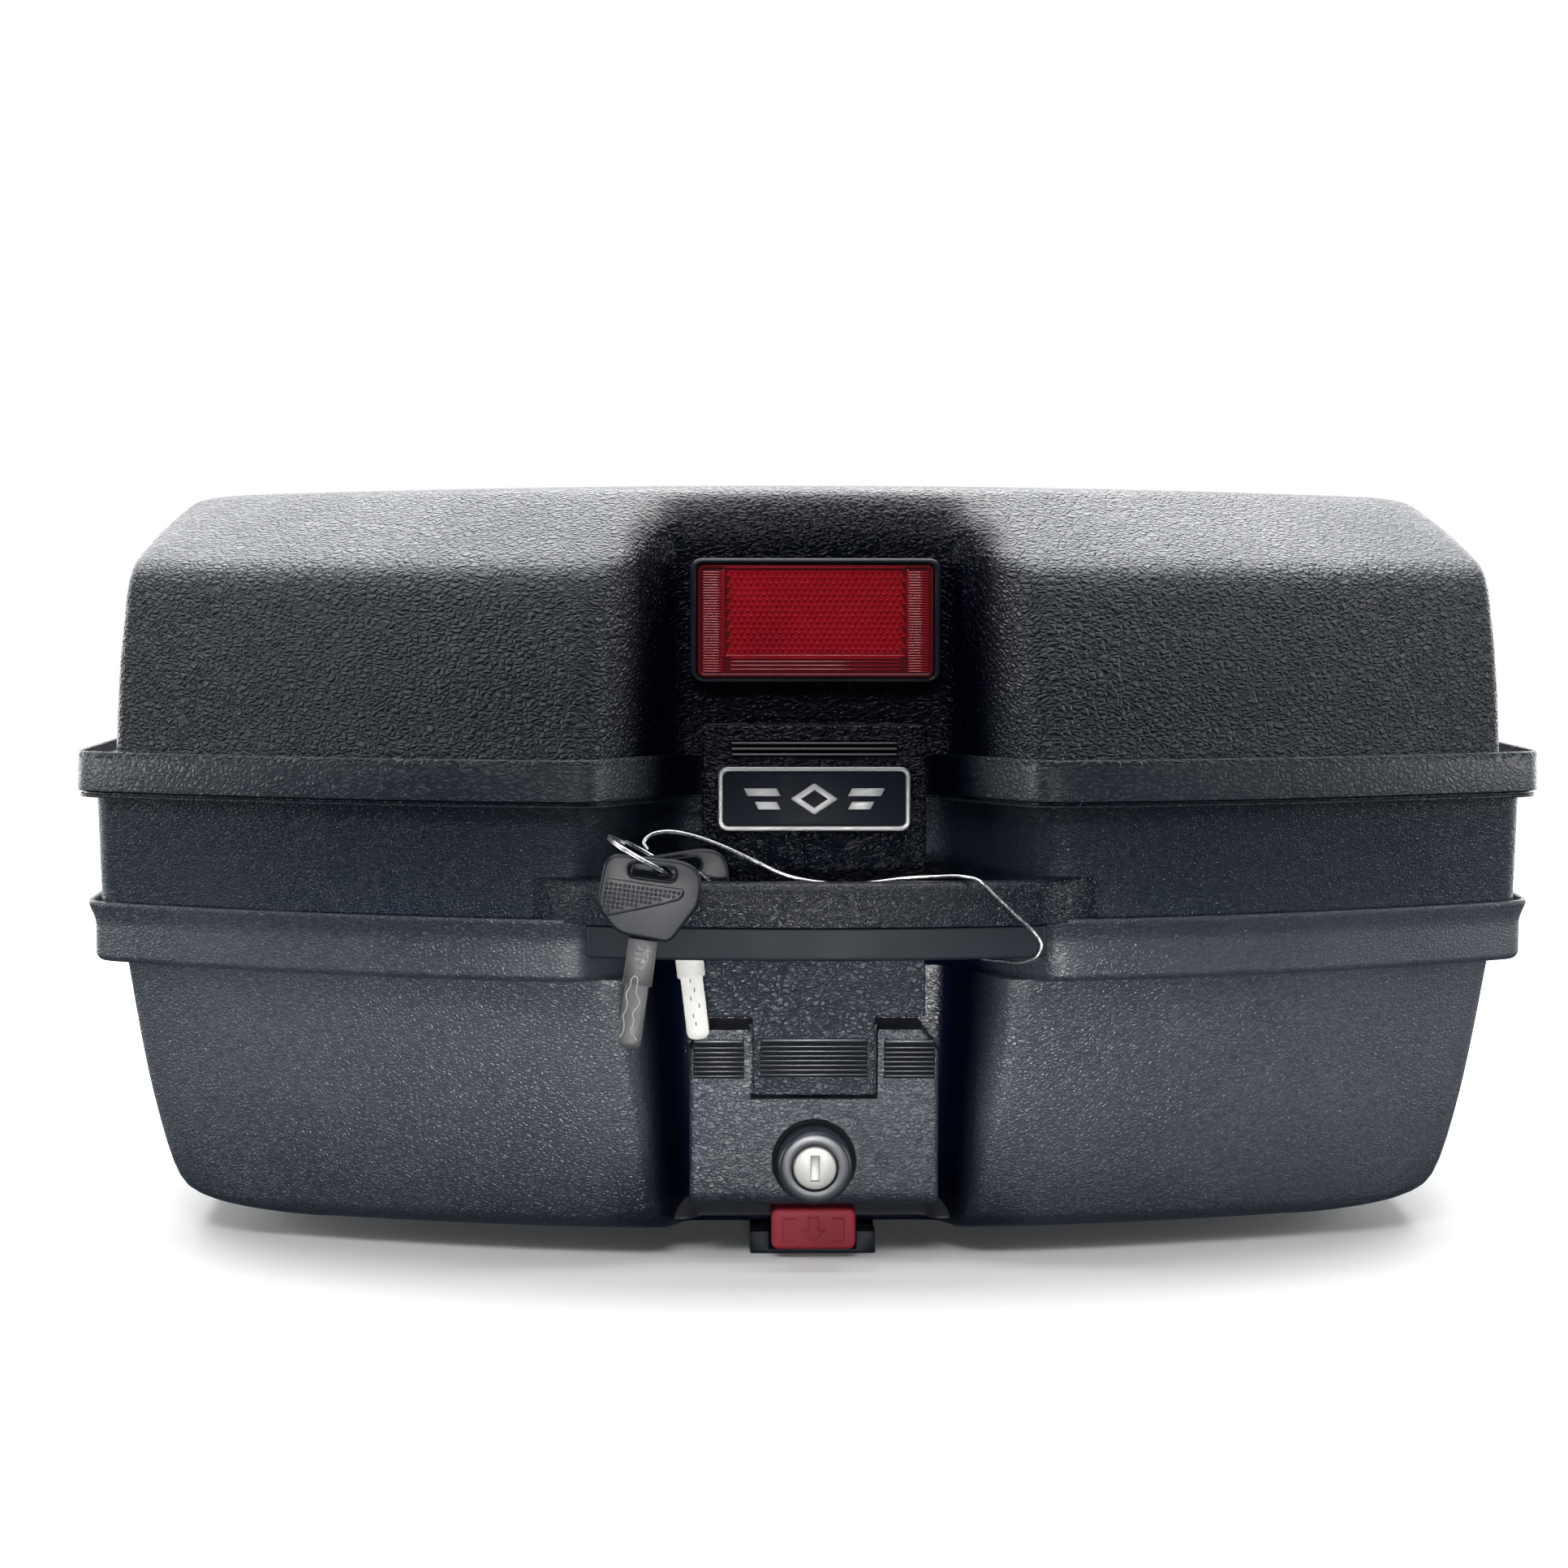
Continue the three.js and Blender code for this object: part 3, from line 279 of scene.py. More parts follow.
def grained_plastic(
    name, dark, light, cell_mm, depth_mm, roughness,
    specular=0.5, painted_shade=None, shade_spec_relief=(0.14, 0.3), calm=None,
):
    """Leather-grained plastic, darker in the grain's creases as painted shade. Where the shade mask gives
    1 the colour turns near black as painted shade, with the specular level and relief share in the next
    pair; calm holds two heights and the shares of the relief at them."""
    shader = Shader(name, light, roughness, Specular_IOR_Level=specular)
    height = leather_height(shader, cell_mm)
    cloud = shader.noise(14, 3.0)
    # Colour: darker in the creases of the grain, which is painted shade, and cloudy at random.
    tone = shader.ranged(shader.maths("ADD", height, shader.product(cloud, 0.6)), 0.1, 1.4)
    color = shader.blend(tone, dark, light)
    worn = shader.ranged(cloud, 0.3, 0.7, roughness - 0.05, roughness + 0.06)
    relief = shader.maths("ADD", height, shader.product(shader.noise(2600), 0.18))
    # Painted shade: where the mask gives 1 the colour turns near black, the roughness drops, and the
    # specular level and relief share take the given pair.
    if painted_shade:
        mask = painted_shade(shader)
        color = shader.blend(mask, color, PAINTED_SHADE_COLOR)
        worn = shader.product(worn, shader.ranged(mask, 0, 1, 1.0, 0.62))
        relief = shader.product(relief, shader.ranged(mask, 0, 1, 1.0, shade_spec_relief[1]))
        shader.drive("Specular IOR Level", shader.ranged(mask, 0, 1, specular, shade_spec_relief[0]))
    if calm:
        relief = shader.product(relief, shader.ranged(shader.place()["Z"], *calm))
    return shader.finished(color, worn, relief, depth_mm)


def smooth_plastic(name, dark, light, roughness, depth_mm=0.03, specular=0.5):
    shader = Shader(name, light, roughness, Specular_IOR_Level=specular)
    cloud = shader.noise(30, 4.0)
    worn = shader.ranged(cloud, 0.3, 0.7, roughness - 0.06, roughness + 0.07)
    return shader.finished(shader.blend(cloud, dark, light), worn, shader.noise(1800, 3.0), depth_mm)


def brushed_metal(name, dark, light, roughness, stretch=(1, 1, 1), metallic=1.0):
    shader = Shader(name, light, roughness, metallic)
    grain = shader.noise(900, 3.0, stretch)
    worn = shader.ranged(grain, 0.25, 0.75, roughness - 0.07, roughness + 0.1)
    return shader.finished(shader.blend(shader.noise(60, 3.0), dark, light), worn, grain, 0.015)


def rubber():
    shader = Shader("rubber", (12, 12, 13), 0.8)
    fine = shader.noise(1500, 3.0)
    return shader.finished(shader.blend(fine, (8, 8, 9), (18, 18, 19)), None, fine, 0.05)


def felt():
    shader = Shader("felt", (20, 20, 22), 0.95, Sheen_Weight=0.4, Sheen_Roughness=0.5)
    fibres = shader.noise(1400, 4.0, (1, 3, 1))
    tone = shader.ranged(shader.product(fibres, shader.noise(40, 3.0)), 0.1, 0.5)
    return shader.finished(shader.blend(tone, (8, 8, 10), (40, 40, 43)), None, fibres, 0.35)


def red_acrylic(name, red):
    """Clear red acrylic; red is the strength of its colour."""
    shader = Shader(name, (red, 0.01 * red, 0.03 * red), 0.16, Coat_Weight=0.6, Coat_Roughness=0.05)
    dark, light = ([k * red for k in (f, 0.009 * f, 0.028 * f)] for f in (0.7, 1.3))
    worn = shader.ranged(shader.noise(300), 0.3, 0.7, 0.1, 0.22)
    return shader.finished(shader.blend(shader.noise(45, 3.0), dark, light), worn)


def red_button():
    shader = Shader("red_button", (240, 18, 30), 0.5, Specular_IOR_Level=0.15)
    fine = shader.noise(2200, 3.0)
    color = shader.blend(shader.noise(80, 4.0), (190, 12, 22), (270, 24, 38))
    return shader.finished(color, shader.ranged(fine, 0.3, 0.7, 0.44, 0.58), fine, 0.03)


SHELL = grained_plastic(
    "shell_leather_grain", (10, 14, 22), (42, 48, 59), 2.3, 1.1, 0.43,
    painted_shade=painted_recess_shade, calm=(0.188, 0.194, 0.15, 1.0),
)
BASE_GRAIN = grained_plastic(
    "base_leather_grain", (14, 18, 25), (36, 42, 51), 1.5, 0.24, 0.43,
    painted_shade=painted_recess_shade, calm=(0.104, 0.109, 1.0, 0.6),
)
BLOCK_GRAIN = grained_plastic("block_leather_grain", (10, 14, 21), (26, 32, 42), 1.7, 0.28, 0.45)
STRAP_GRAIN = grained_plastic(
    "strap_leather_grain", (9, 12, 20), (34, 40, 50), 2.1, 1.0, 0.42,
    painted_shade=painted_strap_top_shade, shade_spec_relief=(0.22, 0.9),
)
RING_GRAIN = grained_plastic("ring_fine_grain", (5, 9, 17), (13, 18, 28), 1.1, 0.2, 0.36, specular=0.3)
BAR_GRAIN = grained_plastic("bar_grain", (1, 3, 8), (4, 6, 12), 1.2, 0.22, 0.32, specular=0.3)
# Near black with almost no specular: painted shade for the floors of sunken fields and of the lock's
# seat.
GROOVE_PAINTED_SHADE = smooth_plastic("groove_painted_shade", (0.6, 1, 2), (1, 1.6, 3), 0.6, specular=0.05)
SATIN_BLACK = smooth_plastic("satin_black", (7, 10, 16), (14, 18, 25), 0.4)
# Pale grey for the strap's top ribs: a painted highlight along black ribs.
RIB_PAINTED_HIGHLIGHT = smooth_plastic("strap_rib_painted_highlight", (100, 105, 110), (160, 165, 170), 0.35)
BAND_BLACK = smooth_plastic("band_satin_charcoal", (9, 12, 16), (12, 15, 20), 0.5, specular=0.14)
BRACKET_BLACK = smooth_plastic("bracket_black", (4, 6, 10), (7, 10, 15), 0.5, specular=0.15)
INNER_BLACK = smooth_plastic("inner_face_black", (12, 14, 18), (22, 24, 28), 0.6, 0.08)
KEY_PLASTIC = smooth_plastic("key_moulded_black", (5, 7, 10), (9, 11, 16), 0.42, 0.05, specular=0.3)
BADGE_FIELD = smooth_plastic("badge_field_blueblack", (2, 5, 12), (5, 9, 17), 0.4, 0.02, specular=0.1)
RUBBER = rubber()
FELT = felt()
LENS_RED = red_acrylic("red_acrylic_prisms", 550)
LENS_DEEP = red_acrylic("red_acrylic_body", 160)
BUTTON_RED = red_button()
STEEL = brushed_metal("plated_steel", (500, 500, 500), (720, 720, 710), 0.3)
BRIGHT_STEEL = brushed_metal("bright_plated_zinc", (300, 293, 275), (370, 362, 340), 0.5, metallic=0.25)
PLUG_STEEL = brushed_metal("plug_plated_zinc", (250, 243, 230), (300, 293, 280), 0.42, metallic=0.25)
DARK_STEEL = brushed_metal("dark_polished_steel", (10, 10, 11), (18, 17, 19), 0.42, metallic=0.3)
BADGE_SILVER = brushed_metal(
    "badge_satin_silver", (290, 286, 280), (410, 405, 400), 0.4, (0.3, 1, 3), metallic=0.6
)

wire.data.materials.append(STEEL)


# ---- mesh tools

WELD_DISTANCE = 1e-7
CORNER_STEPS = 6


def mesh_from(points, faces, material_indices=None):
    """A mesh in metres from points in millimetres."""
    mesh = bpy.data.meshes.new("mesh")
    mesh.from_pydata([tuple(float(c) * MM for c in p) for p in points], [], faces)
    if material_indices is not None:
        mesh.polygons.foreach_set("material_index", material_indices)
    mesh.update()
    return mesh


def facing_out(mesh, weld=False):
    """Turns a mesh's faces outwards, after points at one place are joined if weld is set."""
    work = bmesh.new()
    work.from_mesh(mesh)
    if weld:
        bmesh.ops.remove_doubles(work, verts=work.verts, dist=WELD_DISTANCE)
    bmesh.ops.recalc_face_normals(work, faces=work.faces)
    work.to_mesh(mesh)
    work.free()
    return mesh


def merged(parts):
    """One mesh from several; each part is a mesh or a (mesh, material index) pair."""
    work = bmesh.new()
    for part in parts:
        if isinstance(part, tuple):
            part, index = part
            part.polygons.foreach_set("material_index", [index] * len(part.polygons))
        work.from_mesh(part)
        bpy.data.meshes.remove(part)
    mesh = bpy.data.meshes.new("merged")
    work.to_mesh(mesh)
    work.free()
    return mesh


def piece(node, mesh, body, slot, *materials, finish="moulded", sharp=32, lift=DATUM_Z):
    """A finished piece for a CAD node: lifted to its height, smooth shaded with sharp edges by angle,
    on its body. A piece whose first name is no CAD node's adds to the model and replaces nothing."""
    mesh.name = f"{node}_{finish}"
    mesh.transform(Matrix.Translation((0, 0, lift * MM)))
    for material in materials:
        mesh.materials.append(material)
    mesh.polygons.foreach_set("use_smooth", [True] * len(mesh.polygons))
    mesh.set_sharp_from_angle(angle=math.radians(sharp))
    made = linked(f"{node}_{finish}", mesh)
    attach(made, body)
    if node in NODES:
        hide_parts(node)


def baked(obj):
    """The final mesh of an object, which is then removed."""
    bpy.context.view_layer.update()
    depsgraph = bpy.context.evaluated_depsgraph_get()
    mesh = bpy.data.meshes.new_from_object(obj.evaluated_get(depsgraph))
    data = obj.data
    bpy.data.objects.remove(obj)
    if isinstance(data, bpy.types.Curve):
        bpy.data.curves.remove(data)
    mesh.materials.clear()
    return mesh


def wire_mesh(points, radius, cyclic=False, sides=2):
    return baked(line_curve("line", points, radius, cyclic, sides))


def cut(body, *tools):
    """A mesh less each of the tool meshes."""
    made = linked("cut", body)
    cutters = [linked("cutter", tool) for tool in tools]
    for cutter in cutters:
        modifier = made.modifiers.new("cut", "BOOLEAN")
        modifier.operation = "DIFFERENCE"
        modifier.solver = "EXACT"
        modifier.object = cutter
    mesh = baked(made)
    for cutter in cutters:
        bpy.data.objects.remove(cutter)
    return mesh


def bevelled(mesh, width, segments=2):
    """Rounds the sharp edges of a mesh, after its flat faces are merged."""
    flat, sharp = math.radians(2), math.radians(30)
    work = bmesh.new()
    work.from_mesh(mesh)
    bmesh.ops.remove_doubles(work, verts=work.verts, dist=0.005 * MM)
    bmesh.ops.dissolve_limit(work, angle_limit=flat, verts=work.verts, edges=work.edges, delimit=set())
    edges = [e for e in work.edges if e.is_manifold and e.calc_face_angle(0) > sharp]
    bmesh.ops.bevel(
        work, geom=edges, offset=width * MM, segments=segments, profile=0.5, affect="EDGES",
        clamp_overlap=True,
    )
    work.to_mesh(mesh)
    work.free()
    return mesh


def block(x, y, z, rounding=0.3, segments=2):
    """A box with rounded edges."""
    points = [(a, b, c) for a in x for b in y for c in z]
    faces = [(0, 1, 3, 2), (4, 6, 7, 5), (0, 4, 5, 1), (2, 3, 7, 6), (0, 2, 6, 4), (1, 5, 7, 3)]
    mesh = facing_out(mesh_from(points, faces))
    return bevelled(mesh, rounding, segments) if rounding else mesh


def quads(rows, columns, looped):
    """Quads between closed rows of points, and from the last row to the first if looped."""
    faces = []
    for k in range(rows if looped else rows - 1):
        low, high = k * columns, (k + 1) % rows * columns
        for i in range(columns):
            j = (i + 1) % columns
            faces.append((low + i, low + j, high + j, high + i))
    return faces


def turned(profile, sides=96):
    """A body turned about Y. The profile's (radius, y) points end on the axis, or form a loop."""
    angles = np.linspace(0, 2 * math.pi, sides, endpoint=False)
    points = [(r * math.cos(a), y, r * math.sin(a)) for r, y in profile for a in angles]
    faces = quads(len(profile), sides, looped=profile[0][0] > 0)
    return facing_out(mesh_from(points, faces), weld=True)


def rod(radius, start, end, sides=48, rounding=0.3):
    """A round bar along Y with its rims rounded."""
    inner = radius - rounding
    rims = [(inner, start), (radius, start + rounding), (radius, end - rounding), (inner, end)]
    return turned([(0, start), *rims, (0, end)], sides)


def moved(mesh, matrix, offset_mm):
    mesh.transform(Matrix.Translation(Vector(offset_mm) * MM) @ matrix)
    return mesh


def bezier(a, control, b, steps):
    """Points of a quadratic curve."""
    spread = np.linspace(0, 1, steps + 1)
    return [(1 - t) ** 2 * a + 2 * t * (1 - t) * control + t * t * b for t in spread]


def rounded_rect(x0, x1, z0, z1, r):
    """A rounded rectangle, counter-clockwise."""
    corners = [(x1 - r, z0 + r, -90), (x1 - r, z1 - r, 0), (x0 + r, z1 - r, 90), (x0 + r, z0 + r, 180)]
    points = []
    for cx, cz, start in corners:
        for i in range(CORNER_STEPS + 1):
            a = math.radians(start + 90 * i / CORNER_STEPS)
            points.append((cx + r * math.cos(a), cz + r * math.sin(a)))
    return points


def rounded_corners(points, radii):
    """An outline whose corners are rounded, each by its own radius."""
    made = []
    for i, (corner, radius) in enumerate(zip(points, radii)):
        here = np.array(corner, float)
        if radius == 0:
            made.append(tuple(here))
            continue
        before = np.array(points[i - 1], float) - here
        after = np.array(points[(i + 1) % len(points)], float) - here
        a = here + before / np.linalg.norm(before) * radius
        b = here + after / np.linalg.norm(after) * radius
        made += [tuple(p) for p in bezier(a, here, b, 5)]
    return made


def plate(outlines, y0, y1, rounding=0.4, segments=2):
    """A plate between two y stations. The first outline in X-Z is its edge and the others are holes."""
    curve = bpy.data.curves.new("plate", "CURVE")
    curve.dimensions = "2D"
    curve.fill_mode = "BOTH"
    curve.extrude = ((y1 - y0) / 2 - rounding) * MM
    curve.bevel_depth = rounding * MM
    curve.bevel_resolution = segments
    curve.offset = -rounding * MM
    for number, outline in enumerate(outlines):
        points = outline if number == 0 else outline[::-1]
        spline = curve.splines.new("POLY")
        spline.points.add(len(points) - 1)
        for target, (x, z) in zip(spline.points, points):
            target.co = (x * MM, z * MM, 0, 1)
        spline.use_cyclic_u = True
    mesh = facing_out(baked(linked("plate", curve)), weld=True)
    return moved(mesh, turn(90, "X"), (0, (y0 + y1) / 2, 0))


def finished_copy(node, body, slot, material, rounding):
    """A CAD node's shape with its edges rounded, standing for that node."""
    mesh = NODES[node].data.copy()
    mesh.materials.clear()
    if "custom_normal" in mesh.attributes:
        mesh.attributes.remove(mesh.attributes["custom_normal"])
    piece(node, bevelled(mesh, rounding), body, slot, material, finish="finished", lift=0)


# ---- plan outlines
# An outline is given by distances behind the foremost plane (apex, floor, rear) and by half-widths
# (side at the front corner, wide at mid depth). A recess with sloping walls is sunk into its front.

WIDEST_DEPTH = 240
REAR_TAPER = 6
SLOPE_FACTOR = 1.15
RECESS_EDGE = 98
RECESS_X = np.concatenate([np.linspace(0, 40, 6, endpoint=False), np.linspace(40, RECESS_EDGE, 40)])


def soft_max(a, b, k):
    return (a + b + np.hypot(a - b, k)) / 2


def front_depth(p, x):
    bowed = p["apex"] + x * x / (2 * p["bow"])
    slope = p["floor"] / (p["mouth"] - p["floorHalf"])
    recess = -soft_max(-p["floor"], -(p["floor"] - (np.abs(x) - p["floorHalf"]) * slope), 6)
    return soft_max(bowed, recess, p["soft"])


def fillet(a, v, b, radius, steps):
    """Points of a fillet at vertex v between the directions towards a and b."""
    a, v, b = (np.array(q, float) for q in (a, v, b))
    u = (a - v) / np.linalg.norm(a - v)
    w = (b - v) / np.linalg.norm(b - v)
    half = math.acos(float(u @ w)) / 2
    centre = v + (u + w) / np.linalg.norm(u + w) * radius / math.sin(half)
    start = v + u * radius / math.tan(half) - centre
    end = v + w * radius / math.tan(half) - centre
    sweep = math.atan2(start[0] * end[1] - start[1] * end[0], float(start @ end))
    turns = np.linspace(0, sweep, steps + 1)
    cos, sin = np.cos(turns), np.sin(turns)
    return centre + np.column_stack([start[0] * cos - start[1] * sin, start[0] * sin + start[1] * cos])


def half_outline(p):
    """The right half of an outline, from the front centre round to the rear centre."""
    corner = np.array([p["side"], p["apex"] + p["side"] ** 2 / (2 * p["bow"])])
    widest = (p["wide"], WIDEST_DEPTH)
    front_arc = fillet(corner - (1, p["side"] / p["bow"]), corner, widest, p["cornerR"], 10)
    rear_arc = fillet(widest, (p["wide"] - REAR_TAPER, p["rear"]), (0, p["rear"]), p["rearR"], 14)
    x = np.concatenate([RECESS_X, np.linspace(RECESS_EDGE, front_arc[0][0], 12)[1:-1]])
    front = np.column_stack([x, front_depth(p, x)])
    side = np.linspace(front_arc[-1], widest, 6)[1:]
    flank = np.linspace(widest, rear_arc[0], 6)[1:-1]
    rear = np.linspace(rear_arc[-1], (0, p["rear"]), 8)[1:]
    return np.concatenate([front, front_arc, side, flank, rear_arc, rear])


def ring_at(p, z):
    """A closed outline as a ring of points, counter-clockwise from above."""
    right = half_outline(p)
    left = right[1:-1][::-1] * (-1, 1)
    both = np.concatenate([right, left])
    return np.column_stack([both[:, 0], both[:, 1] + FRONT_Y, np.full(len(both), float(z))])


def inset(p, t):
    """Moves an outline inwards by t."""
    shift = SLOPE_FACTOR * t
    return {
        **p, "apex": p["apex"] + t, "side": p["side"] - t, "wide": p["wide"] - t, "rear": p["rear"] - t,
        "cornerR": max(p["cornerR"] - t, 6), "rearR": max(p["rearR"] - t, 8), "floor": p["floor"] + t,
        "floorHalf": p["floorHalf"] + shift / 2, "mouth": p["mouth"] + shift,
    }


def rounded_profile(stations, looped=False):
    """Rounds the corners of a profile of rings. A station is (ring, rounding, material index)."""
    count = len(stations)
    made = []
    for k, (ring, radius, index) in enumerate(stations):
        if not looped and k in (0, count - 1):
            made.append((ring, index))
            continue
        shifts = [stations[k - 1][0] - ring, stations[(k + 1) % count][0] - ring]
        spans = [np.linalg.norm(d, axis=1) for d in shifts]
        reach = [np.minimum(radius, 0.49 * span)[:, None] for span in spans]
        a, b = (ring + d / np.maximum(s, 1e-9)[:, None] * r for d, s, r in zip(shifts, spans, reach))
        made += [(point, index) for point in bezier(a, ring, b, 3)]
    return made


def skin(rings, looped=False):
    """Quads between a list of (ring, material index), with a fan at each end unless it is looped."""
    count = len(rings[0][0])
    points = [tuple(q) for ring, _ in rings for q in ring]
    faces = quads(len(rings), count, looped)
    indices = [index for _, index in rings for _ in range(count)][: len(faces)]
    if not looped:
        for start, (ring, index) in ((0, rings[0]), ((len(rings) - 1) * count, rings[-1])):
            faces += [(len(points), start + i, start + (i + 1) % count) for i in range(count)]
            indices += [index] * count
            points.append(tuple(np.mean(ring, axis=0)))
    return facing_out(mesh_from(points, faces, indices))


# ---- the three shells

FLANGE = {
    "apex": -9, "bow": 505, "side": 286, "wide": 301, "rear": 410, "cornerR": 24, "rearR": 58,
    "floor": 53, "floorHalf": 48, "mouth": 79, "soft": 9,
}
LID_FOOT = {**inset(FLANGE, 15), "side": 271.6, "floor": 58, "floorHalf": 54, "mouth": 86, "soft": 12}
BASE_TOP = {
    **inset(FLANGE, 17), "side": 268, "wide": 282, "floor": 60, "floorHalf": 54, "mouth": 74, "soft": 8,
}
SMOOTHEST = 40


def levels(keys, rows):
    """Rows of a height, a rounding and the outline's changed values, in the order of the keys."""
    return [(z, rounding, dict(zip(keys.split(), values))) for z, rounding, *values in rows]


LID_LEVELS = levels("side wide rear apex bow cornerR rearR", [
    (184, 0.8),
    (221, SMOOTHEST, 269.7, 285, 394),
    (250, 4, 266.8, 283, 392, 10),
    (257, 3.5, 265.8, 282, 391, 12.5),
    (262, 4, 265.2, 281, 389.5, 19, 505, 14),
    (274, SMOOTHEST, 264, 275, 384, 40, 430, 34, 50),
    (286, SMOOTHEST, 259.5, 266, 377, 61, 360, 52, 56),
    (289.6, SMOOTHEST, 257, 262, 374, 68, 342, 58, 58),
    (291, SMOOTHEST, 251, 256, 368, 75, 337, 60, 58),
])
BASE_LEVELS = levels("side wide rear apex bow cornerR rearR floorHalf mouth", [
    (BASE_BOTTOM_Z, SMOOTHEST, 212, 220, 345, 52, 660, 60, 60, 50, 66),
    (7, SMOOTHEST, 232, 241, 360, 40, 640, 58, 60, 50, 66),
    (10.5, SMOOTHEST, 246, 255, 370, 31, 600, 46, 60, 50, 66),
    (17.5, SMOOTHEST, 253, 262, 377, 26, 570, 38, 58, 50, 67),
    (46, SMOOTHEST, 260, 270, 386, 18.5, 540, 32, 54, 51, 69),
    (72, SMOOTHEST, 265, 275, 390, 14, 515, 26, 50, 52.5, 71.5),
    (BASE_FLANGE_Z[0], 0.6),
])
OUTER, INNER = 0, 1


def level_ring(foot, level, t=0.0, dz=0.0):
    z, _, changed = level
    return ring_at(inset({**foot, **changed}, t), z + dz)


def flange_ring(t, z):
    """The joint's outline, t inside the lid flange's outer face."""
    return ring_at(inset(FLANGE, t), z)


def flange_rings(stations, index=OUTER):
    return [(flange_ring(t, z), radius, index) for t, z, radius in stations]


def crown(ring):
    """Smaller copies of a ring that rise to a crown."""
    made = []
    for s in CROWN_SCALES:
        copy = ring * (s, s, 1)
        copy[:, 2] += CROWN * (1 - s**4)
        made.append(copy)
    return made


def make_lid():
    outer = [(level_ring(LID_FOOT, level), level[1], OUTER) for level in LID_LEVELS]
    inner = []
    for level in [x for x in LID_LEVELS if x[0] > LEDGE_Z][::-1]:
        lower = -WALL if level[0] > SHOULDER_Z else 0
        inner.append((level_ring(LID_FOOT, level, WALL, lower), level[1], INNER))
    low, high = LID_FLANGE_Z
    under = LEDGE_Z - WALL
    stations = [(ring, SMOOTHEST, INNER) for ring in crown(inner[0][0])[::-1]]
    stations += [*inner, (ring_at(inset(LID_FOOT, WALL), under), 1, INNER)]
    stations += flange_rings([(WALL, under, 0.6)], INNER)
    stations += flange_rings(
        [(WALL, low, 0.5), (0, low, 0.9), (0, high, 1.1), (2.4, high, 0.7), (2.4, LEDGE_Z, 0.6)]
    )
    stations += outer
    stations += [(ring, SMOOTHEST, OUTER) for ring in crown(outer[-1][0])]
    mesh = skin(rounded_profile(stations))
    piece("lid_shell", mesh, "lid", "grained_shell", SHELL, INNER_BLACK)


def make_base():
    low, high = BASE_FLANGE_Z
    wall, lip = BASE_FLANGE_INSET, BASE_LIP_INSET
    outer = [(level_ring(BASE_TOP, level), level[1], OUTER) for level in BASE_LEVELS]
    stations = [(outer[0][0] * (s, s, 1), SMOOTHEST, OUTER) for s in (0.02, 0.6)]
    stations += outer
    stations += flange_rings([
        (wall + 1.5, low, 0.8), (wall, low + 2, 0.8), (wall, high - 8, 2.5), (lip, high - 1.5, 0.6),
        (lip, high, 0.6), (lip + 2.4, high, 0.6),
    ])
    stations += flange_rings([
        (8, high - 8, 0.6), (8, 115.5, 0.6), (12, 115.5, 0.6), (12, high - 3, 0.7), (15, high - 3, 0.7),
        (15, low + 3, 1),
    ], INNER)
    stations.append((ring_at(inset(BASE_TOP, WALL), low - 4), 3, INNER))
    for level in [x for x in BASE_LEVELS if x[0] not in (7, 10.5, low)][::-1]:
        deep = level[0] == BASE_BOTTOM_Z
        ring = level_ring(BASE_TOP, level, -8 if deep else WALL, WALL if deep else 0)
        stations.append((ring, 6, INNER))
    stations += [(ring * (s, s, 1), SMOOTHEST, INNER) for s in (0.6, 0.02)]
    mesh = skin(rounded_profile(stations))
    piece("base_shell", mesh, "case", "grained_shell", BASE_GRAIN, INNER_BLACK)


def make_loop(node, body, slot, material, stations):
    """A piece whose closed section runs all the way round the joint."""
    mesh = skin(rounded_profile(flange_rings(stations), looped=True), looped=True)
    piece(node, mesh, body, slot, material)


def make_ring():
    foot, top = RING_INSET
    rim, rim_z = RING_RIM_INSET, RING_RIM_Z[1] - 0.8
    make_loop("extension_ring", "case", "ring_plastic", RING_GRAIN, [
        (foot, RING_Z[0], 0.5), (top, RING_RIM_Z[0], 0.3), (rim, RING_RIM_Z[0], 0.5), (rim, rim_z, 0.4),
        (rim + 1.5, rim_z, 0.3), (rim + 1.5, RING_RIM_Z[1], 0.3),
        (10, RING_RIM_Z[1], 0.5), (10, RING_Z[1], 0.7), (13, RING_Z[1], 0.7), (13, 171, 0.8),
        (11, 168, 0.8), (foot + 2.7, RING_Z[0], 0.5),
    ])


def make_seal(node, body, insets, z):
    (t0, t1), (z0, z1) = insets, z
    corners = [(t0, z0, 0.9), (t0, z1, 0.9), (t1, z1, 0.9), (t1, z0, 0.9)]
    make_loop(node, body, "rubber", RUBBER, corners)


make_lid()
make_base()
make_ring()
make_seal("ring_seal", "case", (8.6, 11.2), (115.8, 118))
make_seal("lid_seal", "lid", (9, 14), (177.3, 180.7))


# ---- carry handle

def smooth_step(low, high, x):
    t = np.clip((x - low) / (high - low), 0, 1)
    return t * t * (3 - 2 * t)


def bow_y(x, front, end, half):
    return front + (end - front) * (x / half) ** 2


def section(y0, y1, z0, z1, radii):
    """A closed section in Y-Z. Its corners' radii: front low, front top, back top, back low."""
    limit = 0.48 * min(y1 - y0, z1 - z0)
    return rounded_corners([(y0, z0), (y0, z1), (y1, z1), (y1, z0)], [min(r, limit) for r in radii])


def bar_mesh(stations, sections):
    """Skins sections along X."""
    rings = [(np.array([(x, y, z) for y, z in s]), OUTER) for x, s in zip(stations, sections)]
    return skin(rings)


